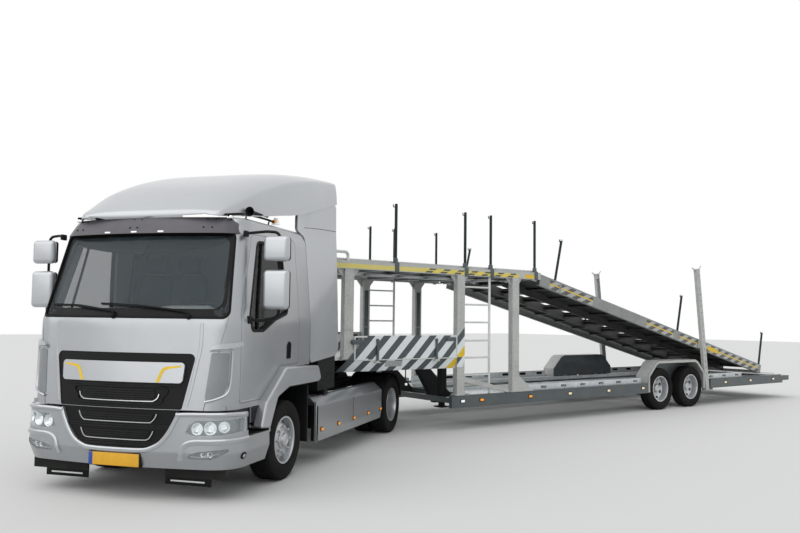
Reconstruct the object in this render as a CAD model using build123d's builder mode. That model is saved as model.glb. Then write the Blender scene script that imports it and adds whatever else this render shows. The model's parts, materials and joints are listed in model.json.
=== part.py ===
from build123d import *
import os
from math import asin, cos, degrees, radians, sin, sqrt, tan

# A two-axle tractor unit with a day cab, coupled to a two-deck car transporter semi-trailer.
# Millimetres, +Z up. The trailer lies along X with its nose at +X, its left side at +Y, and
# every trailer size is measured from the kingpin's axis on the ground. The tractor is drawn
# from its own front axle and is turned about the kingpin as it stands parked.

# How the lorry stands
park_angle = 36.3            # tractor swung to the left of the trailer's line
fit_gap = 0.3                # seat clearance between pieces of two bodies
shaft_gap = 0.05             # radial clearance of a shaft in its bore
door_gap = 6                 # shut line round a door

# Tractor running gear
wheelbase = 3550
kingpin_lead = 95            # kingpin ahead of the rear axle
tyre_radius = 394
tyre_width = 248
bead_radius = 222
front_tyre_y = 940
twin_outer_y = 986
twin_spacing = 276
steer_pivot_y = 780
spindle_radius = 32
rear_stub_radius = 60
rear_tube_radius = 72
banjo_radius = 175

# Tractor frame and coupling
rail_outer_y = 430
rail_flange = 75
rail_height = 250
rail_sheet = 8
rail_top = 735
rail_front = 1090
rail_rear = -4230
coupling_height = 940        # top of the fifth wheel plate
coupling_plate = 55
coupling_half_width = 420
coupling_front = 330
coupling_rear = -420
kingpin_radius = 25.4
kingpin_length = 72

# Cab
cab_wall = 45
cab_rear = -580
cab_floor = 1120
cab_floor_sheet = 40
cab_roof = 2550
footwell_floor = 800
footwell_rear = 560
door_rear = -285
glass_inset = 8
glass_thickness = 8
arch_front = 576
arch_knee = 157
collar_rear = -1460
collar_sheet = 35
collar_rear_y = 1056

# Trailer
trailer_half_width = 1263
trailer_nose = 1300
platform_nose = 1000
platform_rear = -1300
platform_floor = 1073
rail_low_z = 330
rail_high_z = 510
side_rail_depth = 63
lower_front = -1495
track_floor = 500
track_inner_y = 420
track_outer_y = 1160
track_sheet = 8
post_length = 145
post_depth = 90
upper_beam_low = 2275
upper_beam_high = 2385
hinge_x = -3420
hinge_z = 2300
deck_length = 7170
deck_outer_y = 1160
deck_beam_low = 2205
flap_length = 700
# the slope puts the deck's end this far below the hinge, and the frame ends just behind the flap
deck_drop = 1661.63
deck_slope = degrees(asin(deck_drop / deck_length))
flap_margin = 25
lower_rear = round(hinge_x - sqrt(deck_length ** 2 - deck_drop ** 2) - flap_length - flap_margin)
tail_depth = 280
tail_rear = lower_rear - tail_depth
trailer_tyre_radius = 384
trailer_tyre_width = 215
trailer_tyre_y = 1130
trailer_axle_z = trailer_tyre_radius
trailer_axles_x = (-6663, -7644)
trailer_stub_radius = 45
mast_foot_x = -8190
mast_foot_z = 330
mast_lean = 7.0
mast_top = 2650
mast_in_y, mast_out_y = 1192, 1252
mast_pin_radius = 18
plate_pitch = 340
plate_hole_radius = 3.5
stake_radius = 21
stake_height = 840

kingpin_x = kingpin_lead - wheelbase        # the kingpin seen from the front axle

# Where each group of pieces stands: (turn about Z, turn about Y, about which point)
park = Location((0, 0, 0), (0, 0, park_angle)) * Location((-kingpin_x, 0, 0))
hinge = Location((hinge_x, 0, hinge_z))
lowered = hinge * Location((0, 0, 0), (0, -deck_slope, 0)) * hinge.inverse()
foot = Location((mast_foot_x, 0, mast_foot_z))
leaning = foot * Location((0, 0, 0), (0, mast_lean, 0)) * foot.inverse()
level = Location((0, 0, 0))

pieces = []


def keep(builder, label, place):
    """Name a finished piece and stand it where it belongs."""
    builder.part.label = label
    pieces.append((label, builder.part.moved(place)))


def block(x0, x1, y0, y1, z0, z1, mode=Mode.ADD):
    """A box between two corners, in the builder that is open."""
    with Locations(((x0 + x1) / 2, (y0 + y1) / 2, (z0 + z1) / 2)):
        Box(abs(x1 - x0), abs(y1 - y0), abs(z1 - z0), mode=mode)


def side_shape(points, y0, y1, corner=0, grow=0, mode=Mode.ADD):
    """An outline in side view, as (x, z), grown all round and carried across from y0 to y1."""
    with BuildSketch(Plane.XZ.offset(-y1)) as outline:
        with BuildLine():
            Polyline(points, close=True)
        make_face()
        if grow:
            offset(amount=grow, kind=Kind.INTERSECTION)
        if corner:
            fillet(outline.vertices(), corner)
    extrude(outline.sketch, amount=y1 - y0, mode=mode)


def front_shape(points, x0, x1, corner=0, mode=Mode.ADD):
    """An outline in front view, as (y, z), carried along from x0 to x1."""
    with BuildSketch(Plane.YZ.offset(x0)) as outline:
        with BuildLine():
            Polyline(points, close=True)
        make_face()
        if corner:
            fillet(outline.vertices(), corner)
    extrude(outline.sketch, amount=x1 - x0, mode=mode)


def across(x, z, radius, y0, y1, mode=Mode.ADD):
    """A round bar that lies across the lorry."""
    with BuildSketch(Plane.XZ.offset(-y1)) as disc:
        with Locations((x, z)):
            Circle(radius)
    extrude(disc.sketch, amount=y1 - y0, mode=mode)


def upright(x, y, radius, z0, z1, mode=Mode.ADD):
    """A round bar that stands up."""
    with BuildSketch(Plane.XY.offset(z0)) as disc:
        with Locations((x, y)):
            Circle(radius)
    extrude(disc.sketch, amount=z1 - z0, mode=mode)


# Cab skin: height, half width, front at the middle, front at the corner, corner's half width,
# where the flat side starts
cab_sections = (
    (800, 1050, 1285, 1215, 780, 960),
    (1570, 1062, 1228, 1135, 800, 930),
    (2420, 985, 960, 868, 760, 690),
    (2550, 930, 850, 770, 700, 600),
)


def cab_block(sections, inset, drop=0, rear=cab_rear, mode=Mode.ADD):
    """The cab's outer form, shrunk by inset all round and by drop at the top."""
    last = sections[-1][0]
    faces = []
    for height, half, front, shoulder, shoulder_y, flat in sections:
        z = height - drop if height == last else height
        w, f, c, cy = half - inset, front - inset, shoulder - inset, shoulder_y - 0.4 * inset
        with BuildSketch(Plane.XY.offset(z)) as section:
            with BuildLine():
                Line((rear, -w), (rear, w))
                Line((rear, w), (flat, w))
                TangentArc((flat, w), (c, cy), tangent=(1, 0))
                ThreePointArc((c, cy), (f, 0), (c, -cy))
                TangentArc((flat, -w), (c, -cy), tangent=(1, 0))
                Line((flat, -w), (rear, -w))
            make_face()
        faces.append(section.sketch.face())
    loft(faces, ruled=True, mode=mode)


# Door and window outlines, as (x, z)
door_outline = ((985, 850), (985, 1650), (700, 2395), (door_rear, 2425), (door_rear, 1142),
                (arch_knee, 1142), (arch_front, 850))
window_outline = ((838, 1640), (600, 2335), (60, 2360), (-15, 1660), (300, 1590), (560, 1485), (790, 1485))
screen_outline = ((-985, 1602), (985, 1602), (905, 2400), (-905, 2400))
arch_outline = ((-900, 700), (-900, cab_floor), (arch_knee - 10, cab_floor), (arch_front - 50, 830),
                (arch_front - 50, 700))
field_outline = ((-725, 1290), (725, 1290), (625, 803), (-625, 803))


# Cab shell: hollow, with its floor, footwell and arches, door holes and screen hole
with BuildPart() as cab_shell:
    cab_block(cab_sections, 0)
    cab_block(cab_sections, cab_wall, drop=cab_wall, rear=cab_rear + cab_wall, mode=Mode.SUBTRACT)
    block(footwell_rear, 1150, -1000, 1000, footwell_floor, footwell_floor + cab_floor_sheet)
    block(cab_rear + 10, footwell_rear, -1040, 1040, cab_floor, cab_floor + cab_floor_sheet)
    block(footwell_rear, footwell_rear + cab_floor_sheet, -1000, 1000, footwell_floor, cab_floor + cab_floor_sheet)
    side_shape(arch_outline, -1200, 1200, mode=Mode.SUBTRACT)
    side_shape(door_outline, 830, 1100, grow=door_gap, mode=Mode.SUBTRACT)
    side_shape(door_outline, -1100, -830, grow=door_gap, mode=Mode.SUBTRACT)
    front_shape(screen_outline, 500, 1400, corner=60, mode=Mode.SUBTRACT)
    front_shape(field_outline, 900, 1400, mode=Mode.SUBTRACT)
keep(cab_shell, "cab_shell", park)

with BuildPart() as windscreen:
    cab_block(cab_sections, glass_inset)
    cab_block(cab_sections, glass_inset + glass_thickness, drop=glass_thickness, mode=Mode.SUBTRACT)
    front_shape(screen_outline, 500, 1400, corner=60, mode=Mode.INTERSECT)
keep(windscreen, "windscreen", park)


def door_piece(side, glazed):
    """The whole door, or its pane: the cab's side wall inside the door's outline."""
    y0, y1 = (830, 1100) if side > 0 else (-1100, -830)
    outer = glass_inset if glazed else 0
    inner = glass_inset + glass_thickness if glazed else cab_wall
    with BuildPart() as piece:
        cab_block(cab_sections, outer)
        cab_block(cab_sections, inner, drop=inner, rear=cab_rear - 10, mode=Mode.SUBTRACT)
        if glazed:
            side_shape(window_outline, y0, y1, corner=35, mode=Mode.INTERSECT)
        else:
            side_shape(door_outline, y0, y1, mode=Mode.INTERSECT)
            side_shape(window_outline, y0, y1, corner=35, mode=Mode.SUBTRACT)
    return piece


for name, side in (("left", 1), ("right", -1)):
    keep(door_piece(side, False), "door_" + name, park)
    keep(door_piece(side, True), "door_glass_" + name, park)

# Mirrors: two shells on a bent tube that stands off the door
mirror_x = 760
mirror_shells = ((2130, 2365), (1690, 2055))     # low and high edge of each shell
mirror_in_y, mirror_out_y = 1150, 1405
mirror_depth = 95
mirror_tube_radius = 14


def mirror_set(side):
    """Mirror shells and the tube that carries them, seated on the door's skin."""
    tube_x = mirror_x - mirror_depth / 2 - mirror_tube_radius + 4
    tube_y = (mirror_in_y + mirror_out_y) / 2
    low, high = mirror_shells[1][0] - 60, mirror_shells[0][1] + 40
    with BuildPart() as piece:
        for z0, z1 in mirror_shells:
            with BuildSketch(Plane.YZ.offset(mirror_x - mirror_depth / 2)) as face:
                with Locations((side * tube_y, (z0 + z1) / 2)):
                    RectangleRounded(mirror_out_y - mirror_in_y, z1 - z0, 45)
            extrude(face.sketch, amount=mirror_depth)
        upright(tube_x, side * tube_y, mirror_tube_radius, low, high)
        for z in (low, high):
            inner_y = door_side_y(z) - 2
            y0, y1 = sorted((side * inner_y, side * (tube_y + mirror_tube_radius)))
            block(tube_x - mirror_tube_radius, tube_x + mirror_tube_radius, y0, y1,
                  z - mirror_tube_radius, z + mirror_tube_radius)
        cab_block(cab_sections, 0, mode=Mode.SUBTRACT)
    return piece


def door_side_y(z):
    """Half width of the cab's flat side at a height."""
    rows = [(row[0], row[1]) for row in cab_sections]
    for (z0, w0), (z1, w1) in zip(rows, rows[1:]):
        if z <= z1:
            return w0 + (w1 - w0) * (z - z0) / (z1 - z0)
    return rows[-1][1]


for name, side in (("left", 1), ("right", -1)):
    keep(mirror_set(side), "mirrors_" + name, park)

# Bumper skin: the same columns as the cab's skin
bumper_sections = (
    (290, 1075, 1255, 1190, 800, 930),
    (430, 1120, 1295, 1235, 820, 950),
    (780, 1110, 1290, 1225, 800, 950),
)
bumper_sheet = 40
bumper_rear = 500
bowl_outline = ((-600, 790), (600, 790), (560, 690), (430, 510), (250, 455), (-250, 455), (-430, 510), (-560, 690))
lamp_outline = ((655, 600), (760, 715), (1120, 735), (1120, 612), (1000, 585), (760, 575))
fog_outline = ((690, 385), (760, 440), (1070, 478), (1000, 420), (900, 385))


def mirrored(points):
    """The same outline on the other side."""
    return [(-y, z) for y, z in points]


with BuildPart() as front_bumper:
    cab_block(bumper_sections, 0, rear=bumper_rear)
    cab_block(bumper_sections, bumper_sheet, rear=bumper_rear - 10, mode=Mode.SUBTRACT)
    front_shape(bowl_outline, 900, 1400, mode=Mode.SUBTRACT)
    for lamp in (lamp_outline, mirrored(lamp_outline)):
        front_shape(lamp, 850, 1400, mode=Mode.SUBTRACT)
    for fog in (fog_outline, mirrored(fog_outline)):
        front_shape(fog, 900, 1400, mode=Mode.SUBTRACT)
    # step wells behind the corner, under each door
    for y0, y1 in ((900, 1200), (-1200, -900)):
        block(bumper_rear - 20, 930, y0, y1, 570, 800, mode=Mode.SUBTRACT)
    # step treads and the bar that hangs the bumper on the frame
    for y0, y1 in ((560, 1085), (-1085, -560)):
        block(bumper_rear + 10, 930, y0, y1, 520, 560)
    block(880, rail_front + 40, 560, 620, 520, 560)
    block(880, rail_front + 40, -620, -560, 520, 560)
    block(rail_front, rail_front + 40, -980, 980, 505, 575)
keep(front_bumper, "front_bumper", park)

with BuildPart() as headlamps:
    cab_block(bumper_sections, 6, rear=bumper_rear)
    cab_block(bumper_sections, bumper_sheet, rear=bumper_rear - 10, mode=Mode.SUBTRACT)
    with BuildPart(mode=Mode.PRIVATE) as lamp_prisms:
        for lamp in (lamp_outline, mirrored(lamp_outline), fog_outline, mirrored(fog_outline)):
            front_shape(lamp, 850, 1400)
    add(lamp_prisms.part, mode=Mode.INTERSECT)
keep(headlamps, "headlamps", park)

# Grille: a black field in the cab's front and a bowl in the bumper, with cross slots cut through
with BuildPart() as grille:
    cab_block(cab_sections, 10)
    cab_block(cab_sections, cab_wall, drop=cab_wall, rear=cab_rear - 10, mode=Mode.SUBTRACT)
    front_shape(field_outline, 900, 1400, mode=Mode.INTERSECT)
    for z in (870, 960):
        block(900, 1400, -480, 480, z, z + 38, mode=Mode.SUBTRACT)
with BuildPart() as grille_bowl:
    cab_block(bumper_sections, 12, rear=bumper_rear)
    cab_block(bumper_sections, bumper_sheet, rear=bumper_rear - 10, mode=Mode.SUBTRACT)
    front_shape(bowl_outline, 900, 1400, mode=Mode.INTERSECT)
    for z, half in ((700, 430), (620, 400), (545, 330)):
        block(900, 1400, -half, half, z, z + 34, mode=Mode.SUBTRACT)
with BuildPart() as grille_set:
    add(grille.part)
    add(grille_bowl.part)
keep(grille_set, "grille", park)

# Sun visor: a curved strip leaning back ahead of the screen's top, on four feet
visor_low, visor_high = 2385, 2545
visor_sheet = 10
visor_front, visor_corner, visor_half = 1043, 952, 745      # at its lower edge
visor_lean = 0.74                                           # set back per height
foot_low, foot_high = 2450, 2480


def arc_x(front, corner, corner_y, y):
    """How far forward a front arc lies at y."""
    rise = front - corner
    radius = (corner_y ** 2 + rise ** 2) / (2 * rise)
    return front - radius + (radius ** 2 - y ** 2) ** 0.5


def cab_front_x(z, y):
    """How far forward the cab's skin lies above the screen's top."""
    (z0, _, f0, c0, y0, _), (z1, _, f1, c1, y1, _) = cab_sections[2:]
    part = (z - z0) / (z1 - z0)
    return arc_x(f0, c0, y0, y) * (1 - part) + arc_x(f1, c1, y1, y) * part


with BuildPart() as sun_visor:
    bands = []
    for z in (visor_low, visor_high):
        back = (z - visor_low) * visor_lean
        front, corner = visor_front - back, visor_corner - back
        with BuildSketch(Plane.XY.offset(z)) as band:
            with BuildLine():
                ThreePointArc((corner, visor_half), (front, 0), (corner, -visor_half))
                Line((corner, -visor_half), (corner - visor_sheet, -visor_half))
                ThreePointArc((corner - visor_sheet, -visor_half), (front - visor_sheet, 0),
                              (corner - visor_sheet, visor_half))
                Line((corner - visor_sheet, visor_half), (corner, visor_half))
            make_face()
        bands.append(band.sketch.face())
    loft(bands, ruled=True)
    for y in (-600, -200, 200, 600):
        back_x = arc_x(visor_front, visor_corner, visor_half, y) - 0.6 * visor_sheet
        side_shape(((cab_front_x(foot_low, y) + 5, foot_low),
                    (back_x - (foot_low - visor_low) * visor_lean, foot_low),
                    (back_x - (foot_high - visor_low) * visor_lean, foot_high),
                    (cab_front_x(foot_high, y) + 5, foot_high)), y - 15, y + 15)
keep(sun_visor, "sun_visor", park)

# Roof fairing: x, half width, lower edge, shoulder height, top height
fairing_sections = (
    (860, 780, 2552, 2590, 2640),
    (400, 900, 2600, 2790, 2930),
    (-400, 985, 2720, 3030, 3180),
    (-1330, collar_rear_y, 2960, 3180, 3290),
)
fairing_sheet = 30


def fairing_block(inset, mode=Mode.ADD):
    """The hood's form along the cab, shrunk by inset."""
    faces = []
    for x, half, low, shoulder, top in fairing_sections:
        w, s, t = half - inset, shoulder - inset, top - inset
        base = low - 400 if inset else low
        with BuildSketch(Plane.YZ.offset(x)) as section:
            with BuildLine():
                Line((-w, base), (w, base))
                Line((w, base), (w, s))
                ThreePointArc((w, s), (0, t), (-w, s))
                Line((-w, s), (-w, base))
            make_face()
        faces.append(section.sketch.face())
    loft(faces, ruled=True, mode=mode)


filler_outline = ((-420, 2560), (-1325, 2630), (-1325, 3010), (-420, 2760))
with BuildPart() as filler:
    with BuildSketch(Plane.XY.offset(2500)):
        with BuildLine():
            Polyline([(-420, 983), (-1325, collar_rear_y - 2), (-1325, collar_rear_y - collar_sheet),
                      (-420, 983 - collar_sheet)], close=True)
        make_face()
    extrude(amount=600)
    side_shape(filler_outline, 800, 1200, mode=Mode.INTERSECT)
    mirror(about=Plane.XZ)
with BuildPart() as roof_fairing:
    fairing_block(0)
    fairing_block(fairing_sheet, mode=Mode.SUBTRACT)
    # front apron, side fillers behind the doors and the feet on the roof
    block(820, 860, -740, 740, cab_roof + fit_gap, 2600)
    add(filler.part)
    for x in (300, -300):
        wall_y = 900 + 85 * (400 - x) / 800 - fairing_sheet
        for side in (1, -1):
            block(x - 30, x + 30, side * 850, side * (wall_y + 8), cab_roof, 2760)
keep(roof_fairing, "roof_fairing", park)

# Side collars behind the cab: each wall runs from the cab's side out to the full width
collar_outline = ((-590, 1130), (-1360, 1180), (collar_rear, 1290), (-1345, 2620), (-590, 2500))
with BuildPart() as side_collars:
    for height, half in ((1100, 1055), (1570, 1062), (2420, 985), (2640, 960)):
        with BuildSketch(Plane.XY.offset(height)):
            with BuildLine():
                Polyline([(-585, half), (-1480, collar_rear_y), (-1480, collar_rear_y - collar_sheet),
                          (-585, half - collar_sheet)], close=True)
            make_face()
    loft(ruled=True)
    side_shape(collar_outline, 800, 1200, mode=Mode.INTERSECT)
    # stays to the cab's rear wall
    for z in (1300, 1900, 2350):
        block(-700, cab_rear, 820, 860, z, z + 40)
        block(-700, -660, 820, door_side_y(z) - collar_sheet + 8, z, z + 40)
    mirror(about=Plane.XZ)
keep(side_collars, "side_collars", park)

# Dashboard, steering wheel and seats
dash_rear = 820
with BuildPart() as dashboard:
    cab_block(cab_sections, cab_wall + fit_gap)
    block(dash_rear, 1300, -900, 900, 1230, 1560, mode=Mode.INTERSECT)

steer_wheel_y = 450
with BuildPart() as steering_wheel:
    tilt = Plane(origin=(660, steer_wheel_y, 1600), z_dir=(-0.42, 0, 0.91))
    with BuildSketch(tilt):
        Circle(215)
        Circle(188, mode=Mode.SUBTRACT)
    extrude(amount=12, both=True)
    with BuildSketch(tilt):
        Circle(55)
        Rectangle(400, 32)
    extrude(amount=10, both=True)
    with BuildSketch(tilt):
        Circle(32)
    extrude(amount=-480)
    block(dash_rear - fit_gap, 1300, -900, 900, 1000, 1560 + fit_gap, mode=Mode.SUBTRACT)
with BuildPart() as cab_controls:
    add(dashboard.part)
    add(steering_wheel.part)
keep(cab_controls, "dashboard", park)

# seat: middle, half width
seat_rows = ((steer_wheel_y, 250), (-420, 430))
with BuildPart() as seats:
    for y, half in seat_rows:
        block(-100, 400, y - half, y + half, cab_floor + cab_floor_sheet, 1440)
        side_shape(((-120, 1440), (430, 1440), (430, 1540), (-60, 1560), (-190, 2260), (-330, 2260), (-230, 1440)),
                   y - half, y + half, corner=30)
keep(seats, "seats", park)

# Wheel flares on the cab, outside the arch
flare_outer = ((-775, 955), (-690, 1105), (155, 1130), (580, 832), (680, 595))
flare_inner = ((489, 578), (330, 850), (60, 930), (-700, 930))
with BuildPart() as wheel_flares:
    side_shape(flare_outer + flare_inner, 1075, 1130)
    # the part that reaches in under the door, up to the cab's sill
    block(cab_rear + 10, arch_knee - 20, 900, 1080, cab_floor - 25, cab_floor)
    mirror(about=Plane.XZ)
keep(wheel_flares, "wheel_flares", park)

# Tractor frame
with BuildPart() as tractor_frame:
    with BuildSketch(Plane.YZ.offset(rail_rear)):
        with Locations(Location((rail_outer_y, rail_top - rail_height / 2))):
            Rectangle(rail_flange, rail_height, align=(Align.MAX, Align.CENTER))
        with Locations(Location((rail_outer_y - rail_sheet, rail_top - rail_height / 2))):
            Rectangle(rail_flange, rail_height - 2 * rail_sheet, align=(Align.MAX, Align.CENTER), mode=Mode.SUBTRACT)
    extrude(amount=rail_front - rail_rear)
    mirror(about=Plane.XZ)
    for x in (1040, -1080, -1900, -2700, -3250, -4190):
        block(x - 35, x + 35, -rail_outer_y + rail_sheet, rail_outer_y - rail_sheet, rail_top - 150, rail_top - 15)
    # cab mounts and hangers
    for y in (-390, 390):
        block(900, 980, y - 40, y + 40, rail_top, footwell_floor - fit_gap)
        block(-560, -480, y - 40, y + 40, rail_top, cab_floor - fit_gap)
keep(tractor_frame, "tractor_frame", park)

# Springs: axle x, half length, y of the pack, z of its seat on the axle
beam_top = 440
with BuildPart() as springs:
    for x, half, y, seat in ((0, 620, 470, beam_top), (-wheelbase, 640, 480, 394 + rear_tube_radius)):
        leaf = ((x - half, seat + 85), (x - half, seat + 65), (x - 160, seat + fit_gap),
                (x + 160, seat + fit_gap), (x + half, seat + 65), (x + half, seat + 85),
                (x + 160, seat + 50), (x - 160, seat + 50))
        side_shape(leaf, y - 35, y + 35)
        for end in (x - half + 30, x + half - 30):
            block(end - 30, end + 30, rail_outer_y, y + 35, seat + 80, rail_top - 80)
    mirror(about=Plane.XZ)
keep(springs, "tractor_springs", park)

# Engine and gearbox as plain blocks, with the shaft to the rear axle
engine_front, gearbox_rear = 530, -980
shaft_z = tyre_radius + 100
with BuildPart() as driveline:
    block(-340, engine_front, -300, 300, 500, 1060)
    block(gearbox_rear, -340, -200, 200, 470, 780)
    with BuildSketch(Plane.YZ.offset(-wheelbase + banjo_radius + 70)):
        with Locations((0, shaft_z)):
            Circle(45)
    extrude(amount=wheelbase - banjo_radius - 70 + gearbox_rear)
keep(driveline, "engine_block", park)

# Front axle: a dropped beam with an eye at each end for the steering pivot
eye_low, eye_high = 340, 450
pin_radius = 22
with BuildPart() as front_axle:
    half_beam = ((0, 300), (480, 300), (640, 350), (steer_pivot_y, 350), (steer_pivot_y, beam_top), (380, beam_top),
                 (320, beam_top - 20), (0, beam_top - 20))
    front_shape(half_beam, -45, 45)
    upright(0, steer_pivot_y, 52, eye_low, eye_high)
    upright(0, steer_pivot_y, pin_radius + shaft_gap, eye_low - 5, eye_high + 5, mode=Mode.SUBTRACT)
    mirror(about=Plane.XZ)
keep(front_axle, "front_axle", park)


def knuckle(side):
    """Fork round the axle's eye with its pin, the stub for the wheel and the track arm."""
    with BuildPart() as piece:
        for z0, z1 in ((eye_low - 40, eye_low - fit_gap), (eye_high + fit_gap, eye_high + 40)):
            upright(0, steer_pivot_y, 48, z0, z1)
            block(-45, 45, steer_pivot_y, 868, z0, z1)
        upright(0, steer_pivot_y, pin_radius, eye_low - 40, eye_high + 40)
        block(-60, 60, 840, 868, eye_low - 40, eye_high + 40)
        across(0, tyre_radius, spindle_radius, 868, 985)
        block(-230, 0, 700, 740, eye_low - 40, eye_low - 15)
        block(-50, 50, 700, steer_pivot_y, eye_low - 40, eye_low - 15)
        if side < 0:
            mirror(about=Plane.XZ, mode=Mode.REPLACE)
    return piece


for name, side in (("left", 1), ("right", -1)):
    keep(knuckle(side), "knuckle_" + name, park)

# Rear axle
with BuildPart() as rear_axle:
    across(-wheelbase, tyre_radius, rear_tube_radius, -640, 640)
    across(-wheelbase, tyre_radius, rear_stub_radius, -960, 960)
    across(-wheelbase, tyre_radius, banjo_radius, -110, 110)
    with BuildSketch(Plane.YZ.offset(-wheelbase + banjo_radius - 40)):
        with Locations((0, shaft_z - 20)):
            Circle(90)
    extrude(amount=110)
    block(-wheelbase - 60, -wheelbase + 60, 445, 515, tyre_radius, tyre_radius + rear_tube_radius)
    block(-wheelbase - 60, -wheelbase + 60, -515, -445, tyre_radius, tyre_radius + rear_tube_radius)
keep(rear_axle, "rear_axle", park)


def tyre(radius, width):
    """One tyre as a solid ring about the Y axis: crown, shoulders, two-part walls and bead."""
    half = width / 2
    wall = (radius + bead_radius) / 2
    with BuildSketch(Plane.XY) as section:
        with BuildLine():
            Polyline([(bead_radius, -0.39 * width), (wall, -half), (radius - 22, -0.47 * width),
                      (radius, -0.40 * width), (radius, 0.40 * width), (radius - 22, 0.47 * width),
                      (wall, half), (bead_radius, 0.39 * width)], close=True)
        make_face()
    revolve(section.sketch, axis=Axis.Y)


rim_sheet = 10
rim_lip = 17
hand_hole_circle = 178


def rim(radius, width, disc_y, dish, hub_radius, bore, hub_out, hub_in, cap=15):
    """A steel disc wheel about the Y axis: barrel with two lips, dished disc with hand holes, hub."""
    half = 0.39 * width
    inner = bead_radius - rim_sheet
    lip = half + rim_lip * 0.11 * width * 2 / (radius - bead_radius) + 0.2
    with BuildSketch(Plane.XY) as barrel:
        with BuildLine():
            Polyline([(bead_radius, -half), (bead_radius + rim_lip, -lip), (bead_radius + rim_lip, -lip - rim_sheet),
                      (inner, -half - rim_sheet), (inner, half + rim_sheet),
                      (bead_radius + rim_lip, lip + rim_sheet), (bead_radius + rim_lip, lip), (bead_radius, half)],
                     close=True)
        make_face()
    revolve(barrel.sketch, axis=Axis.Y)
    with BuildSketch(Plane.XY) as disc:
        with BuildLine():
            Polyline([(bore, disc_y - 12), (150, disc_y - 12), (inner, disc_y + dish - 15),
                      (inner, disc_y + dish), (150, disc_y), (bore, disc_y)], close=True)
        make_face()
    revolve(disc.sketch, axis=Axis.Y)
    with BuildSketch(Plane.XZ.offset(-disc_y)) as hand_holes:
        with PolarLocations(hand_hole_circle, 8):
            SlotOverall(58, 34, rotation=90)
    extrude(hand_holes.sketch, amount=abs(dish) + 30, both=True, mode=Mode.SUBTRACT)
    with BuildSketch(Plane.XZ.offset(-disc_y - hub_out)) as hub:
        Circle(hub_radius)
    extrude(hub.sketch, amount=hub_out + hub_in)
    with BuildSketch(Plane.XZ.offset(-disc_y - hub_out + cap)) as shaft_hole:
        Circle(bore)
    extrude(shaft_hole.sketch, amount=hub_out + hub_in + 10, mode=Mode.SUBTRACT)


def wheel_stand(x, y, z, side):
    """Where a wheel drawn at the origin, outer face to +Y, stands."""
    return Location((x, side * y, z), (0, 0, 0 if side > 0 else 180))


for name, side in (("left", 1), ("right", -1)):
    stand = park * wheel_stand(0, front_tyre_y, tyre_radius, side)
    with BuildPart() as front_tyre:
        tyre(tyre_radius, tyre_width)
    keep(front_tyre, "tyre_front_" + name, stand)
    with BuildPart() as front_rim:
        rim(tyre_radius, tyre_width, 45, -30, 85, spindle_radius + shaft_gap, 60, 110)
    keep(front_rim, "rim_front_" + name, stand)

    stand = park * wheel_stand(-wheelbase, twin_outer_y, tyre_radius, side)
    with BuildPart() as one_tyre:
        tyre(tyre_radius, tyre_width)
    with BuildPart() as twin_tyres:
        with Locations((0, 0, 0), (0, -twin_spacing, 0)):
            add(one_tyre.part)
    keep(twin_tyres, "tyres_rear_" + name, stand)
    meet = twin_spacing / 2 - 12
    with BuildPart() as outer_rim:
        rim(tyre_radius, tyre_width, -meet, 60, 105, rear_stub_radius + shaft_gap, 120, 12)
    with BuildPart() as inner_rim:
        rim(tyre_radius, tyre_width, -meet, 60, 105, rear_stub_radius + shaft_gap, 30, 12, cap=-10)
    with BuildPart() as twin_rims:
        add(outer_rim.part)
        with Locations(Location((0, -twin_spacing, 0), (0, 0, 180))):
            add(inner_rim.part)
    keep(twin_rims, "rims_rear_" + name, stand)


# Fifth wheel: plate with a throat, standing on two side brackets over the tractor frame
throat_half = 55
jaw_gap = 0.6
plate_low = coupling_height - coupling_plate
with BuildPart() as fifth_wheel:
    with BuildSketch(Plane.XY.offset(plate_low)):
        with BuildLine():
            Polyline([(kingpin_x + coupling_front, -250), (kingpin_x + coupling_front, 250),
                      (kingpin_x + 180, coupling_half_width), (kingpin_x - 160, coupling_half_width),
                      (kingpin_x + coupling_rear, 240), (kingpin_x + coupling_rear, -240),
                      (kingpin_x - 160, -coupling_half_width), (kingpin_x + 180, -coupling_half_width)], close=True)
        make_face()
        with BuildLine():
            Polyline([(kingpin_x + coupling_rear - 5, -190), (kingpin_x + coupling_rear - 5, 190),
                      (kingpin_x - 140, throat_half), (kingpin_x - 140, -throat_half)], close=True)
        make_face(mode=Mode.SUBTRACT)
        with Locations((kingpin_x, 0)):
            Circle(kingpin_radius + jaw_gap, mode=Mode.SUBTRACT)
    extrude(amount=coupling_plate)
    for y in (-330, 330):
        side_shape(((kingpin_x - 260, rail_top + 15), (kingpin_x + 260, rail_top + 15),
                    (kingpin_x + 90, plate_low), (kingpin_x - 90, plate_low)), y - 40, y + 40)
    block(kingpin_x - 450, kingpin_x + 450, -rail_outer_y - 40, rail_outer_y + 40, rail_top, rail_top + 15)
keep(fifth_wheel, "fifth_wheel", park)

# Side skirts with their outriggers
skirt_front, skirt_rear = -770, -3060
skirt_low, skirt_fold, skirt_top = 262, 690, 742
skirt_outer_y, skirt_inner_y = 1100, 900
skirt_sheet = 24
with BuildPart() as side_skirts:
    front_shape(((skirt_outer_y, skirt_low), (skirt_outer_y, skirt_fold), (1035, skirt_top), (skirt_inner_y, skirt_top),
                 (skirt_inner_y, skirt_top - skirt_sheet), (1025, skirt_top - skirt_sheet),
                 (skirt_outer_y - skirt_sheet, skirt_fold - 12), (skirt_outer_y - skirt_sheet, skirt_low)),
                skirt_rear, skirt_front)
    for x in (-950, -1900, -2850):
        block(x - 25, x + 25, rail_outer_y, skirt_outer_y - skirt_sheet, 640, 690)
        block(x - 25, x + 25, 930, 990, 690, skirt_top - skirt_sheet)
    mirror(about=Plane.XZ)
keep(side_skirts, "side_skirts", park)

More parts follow.
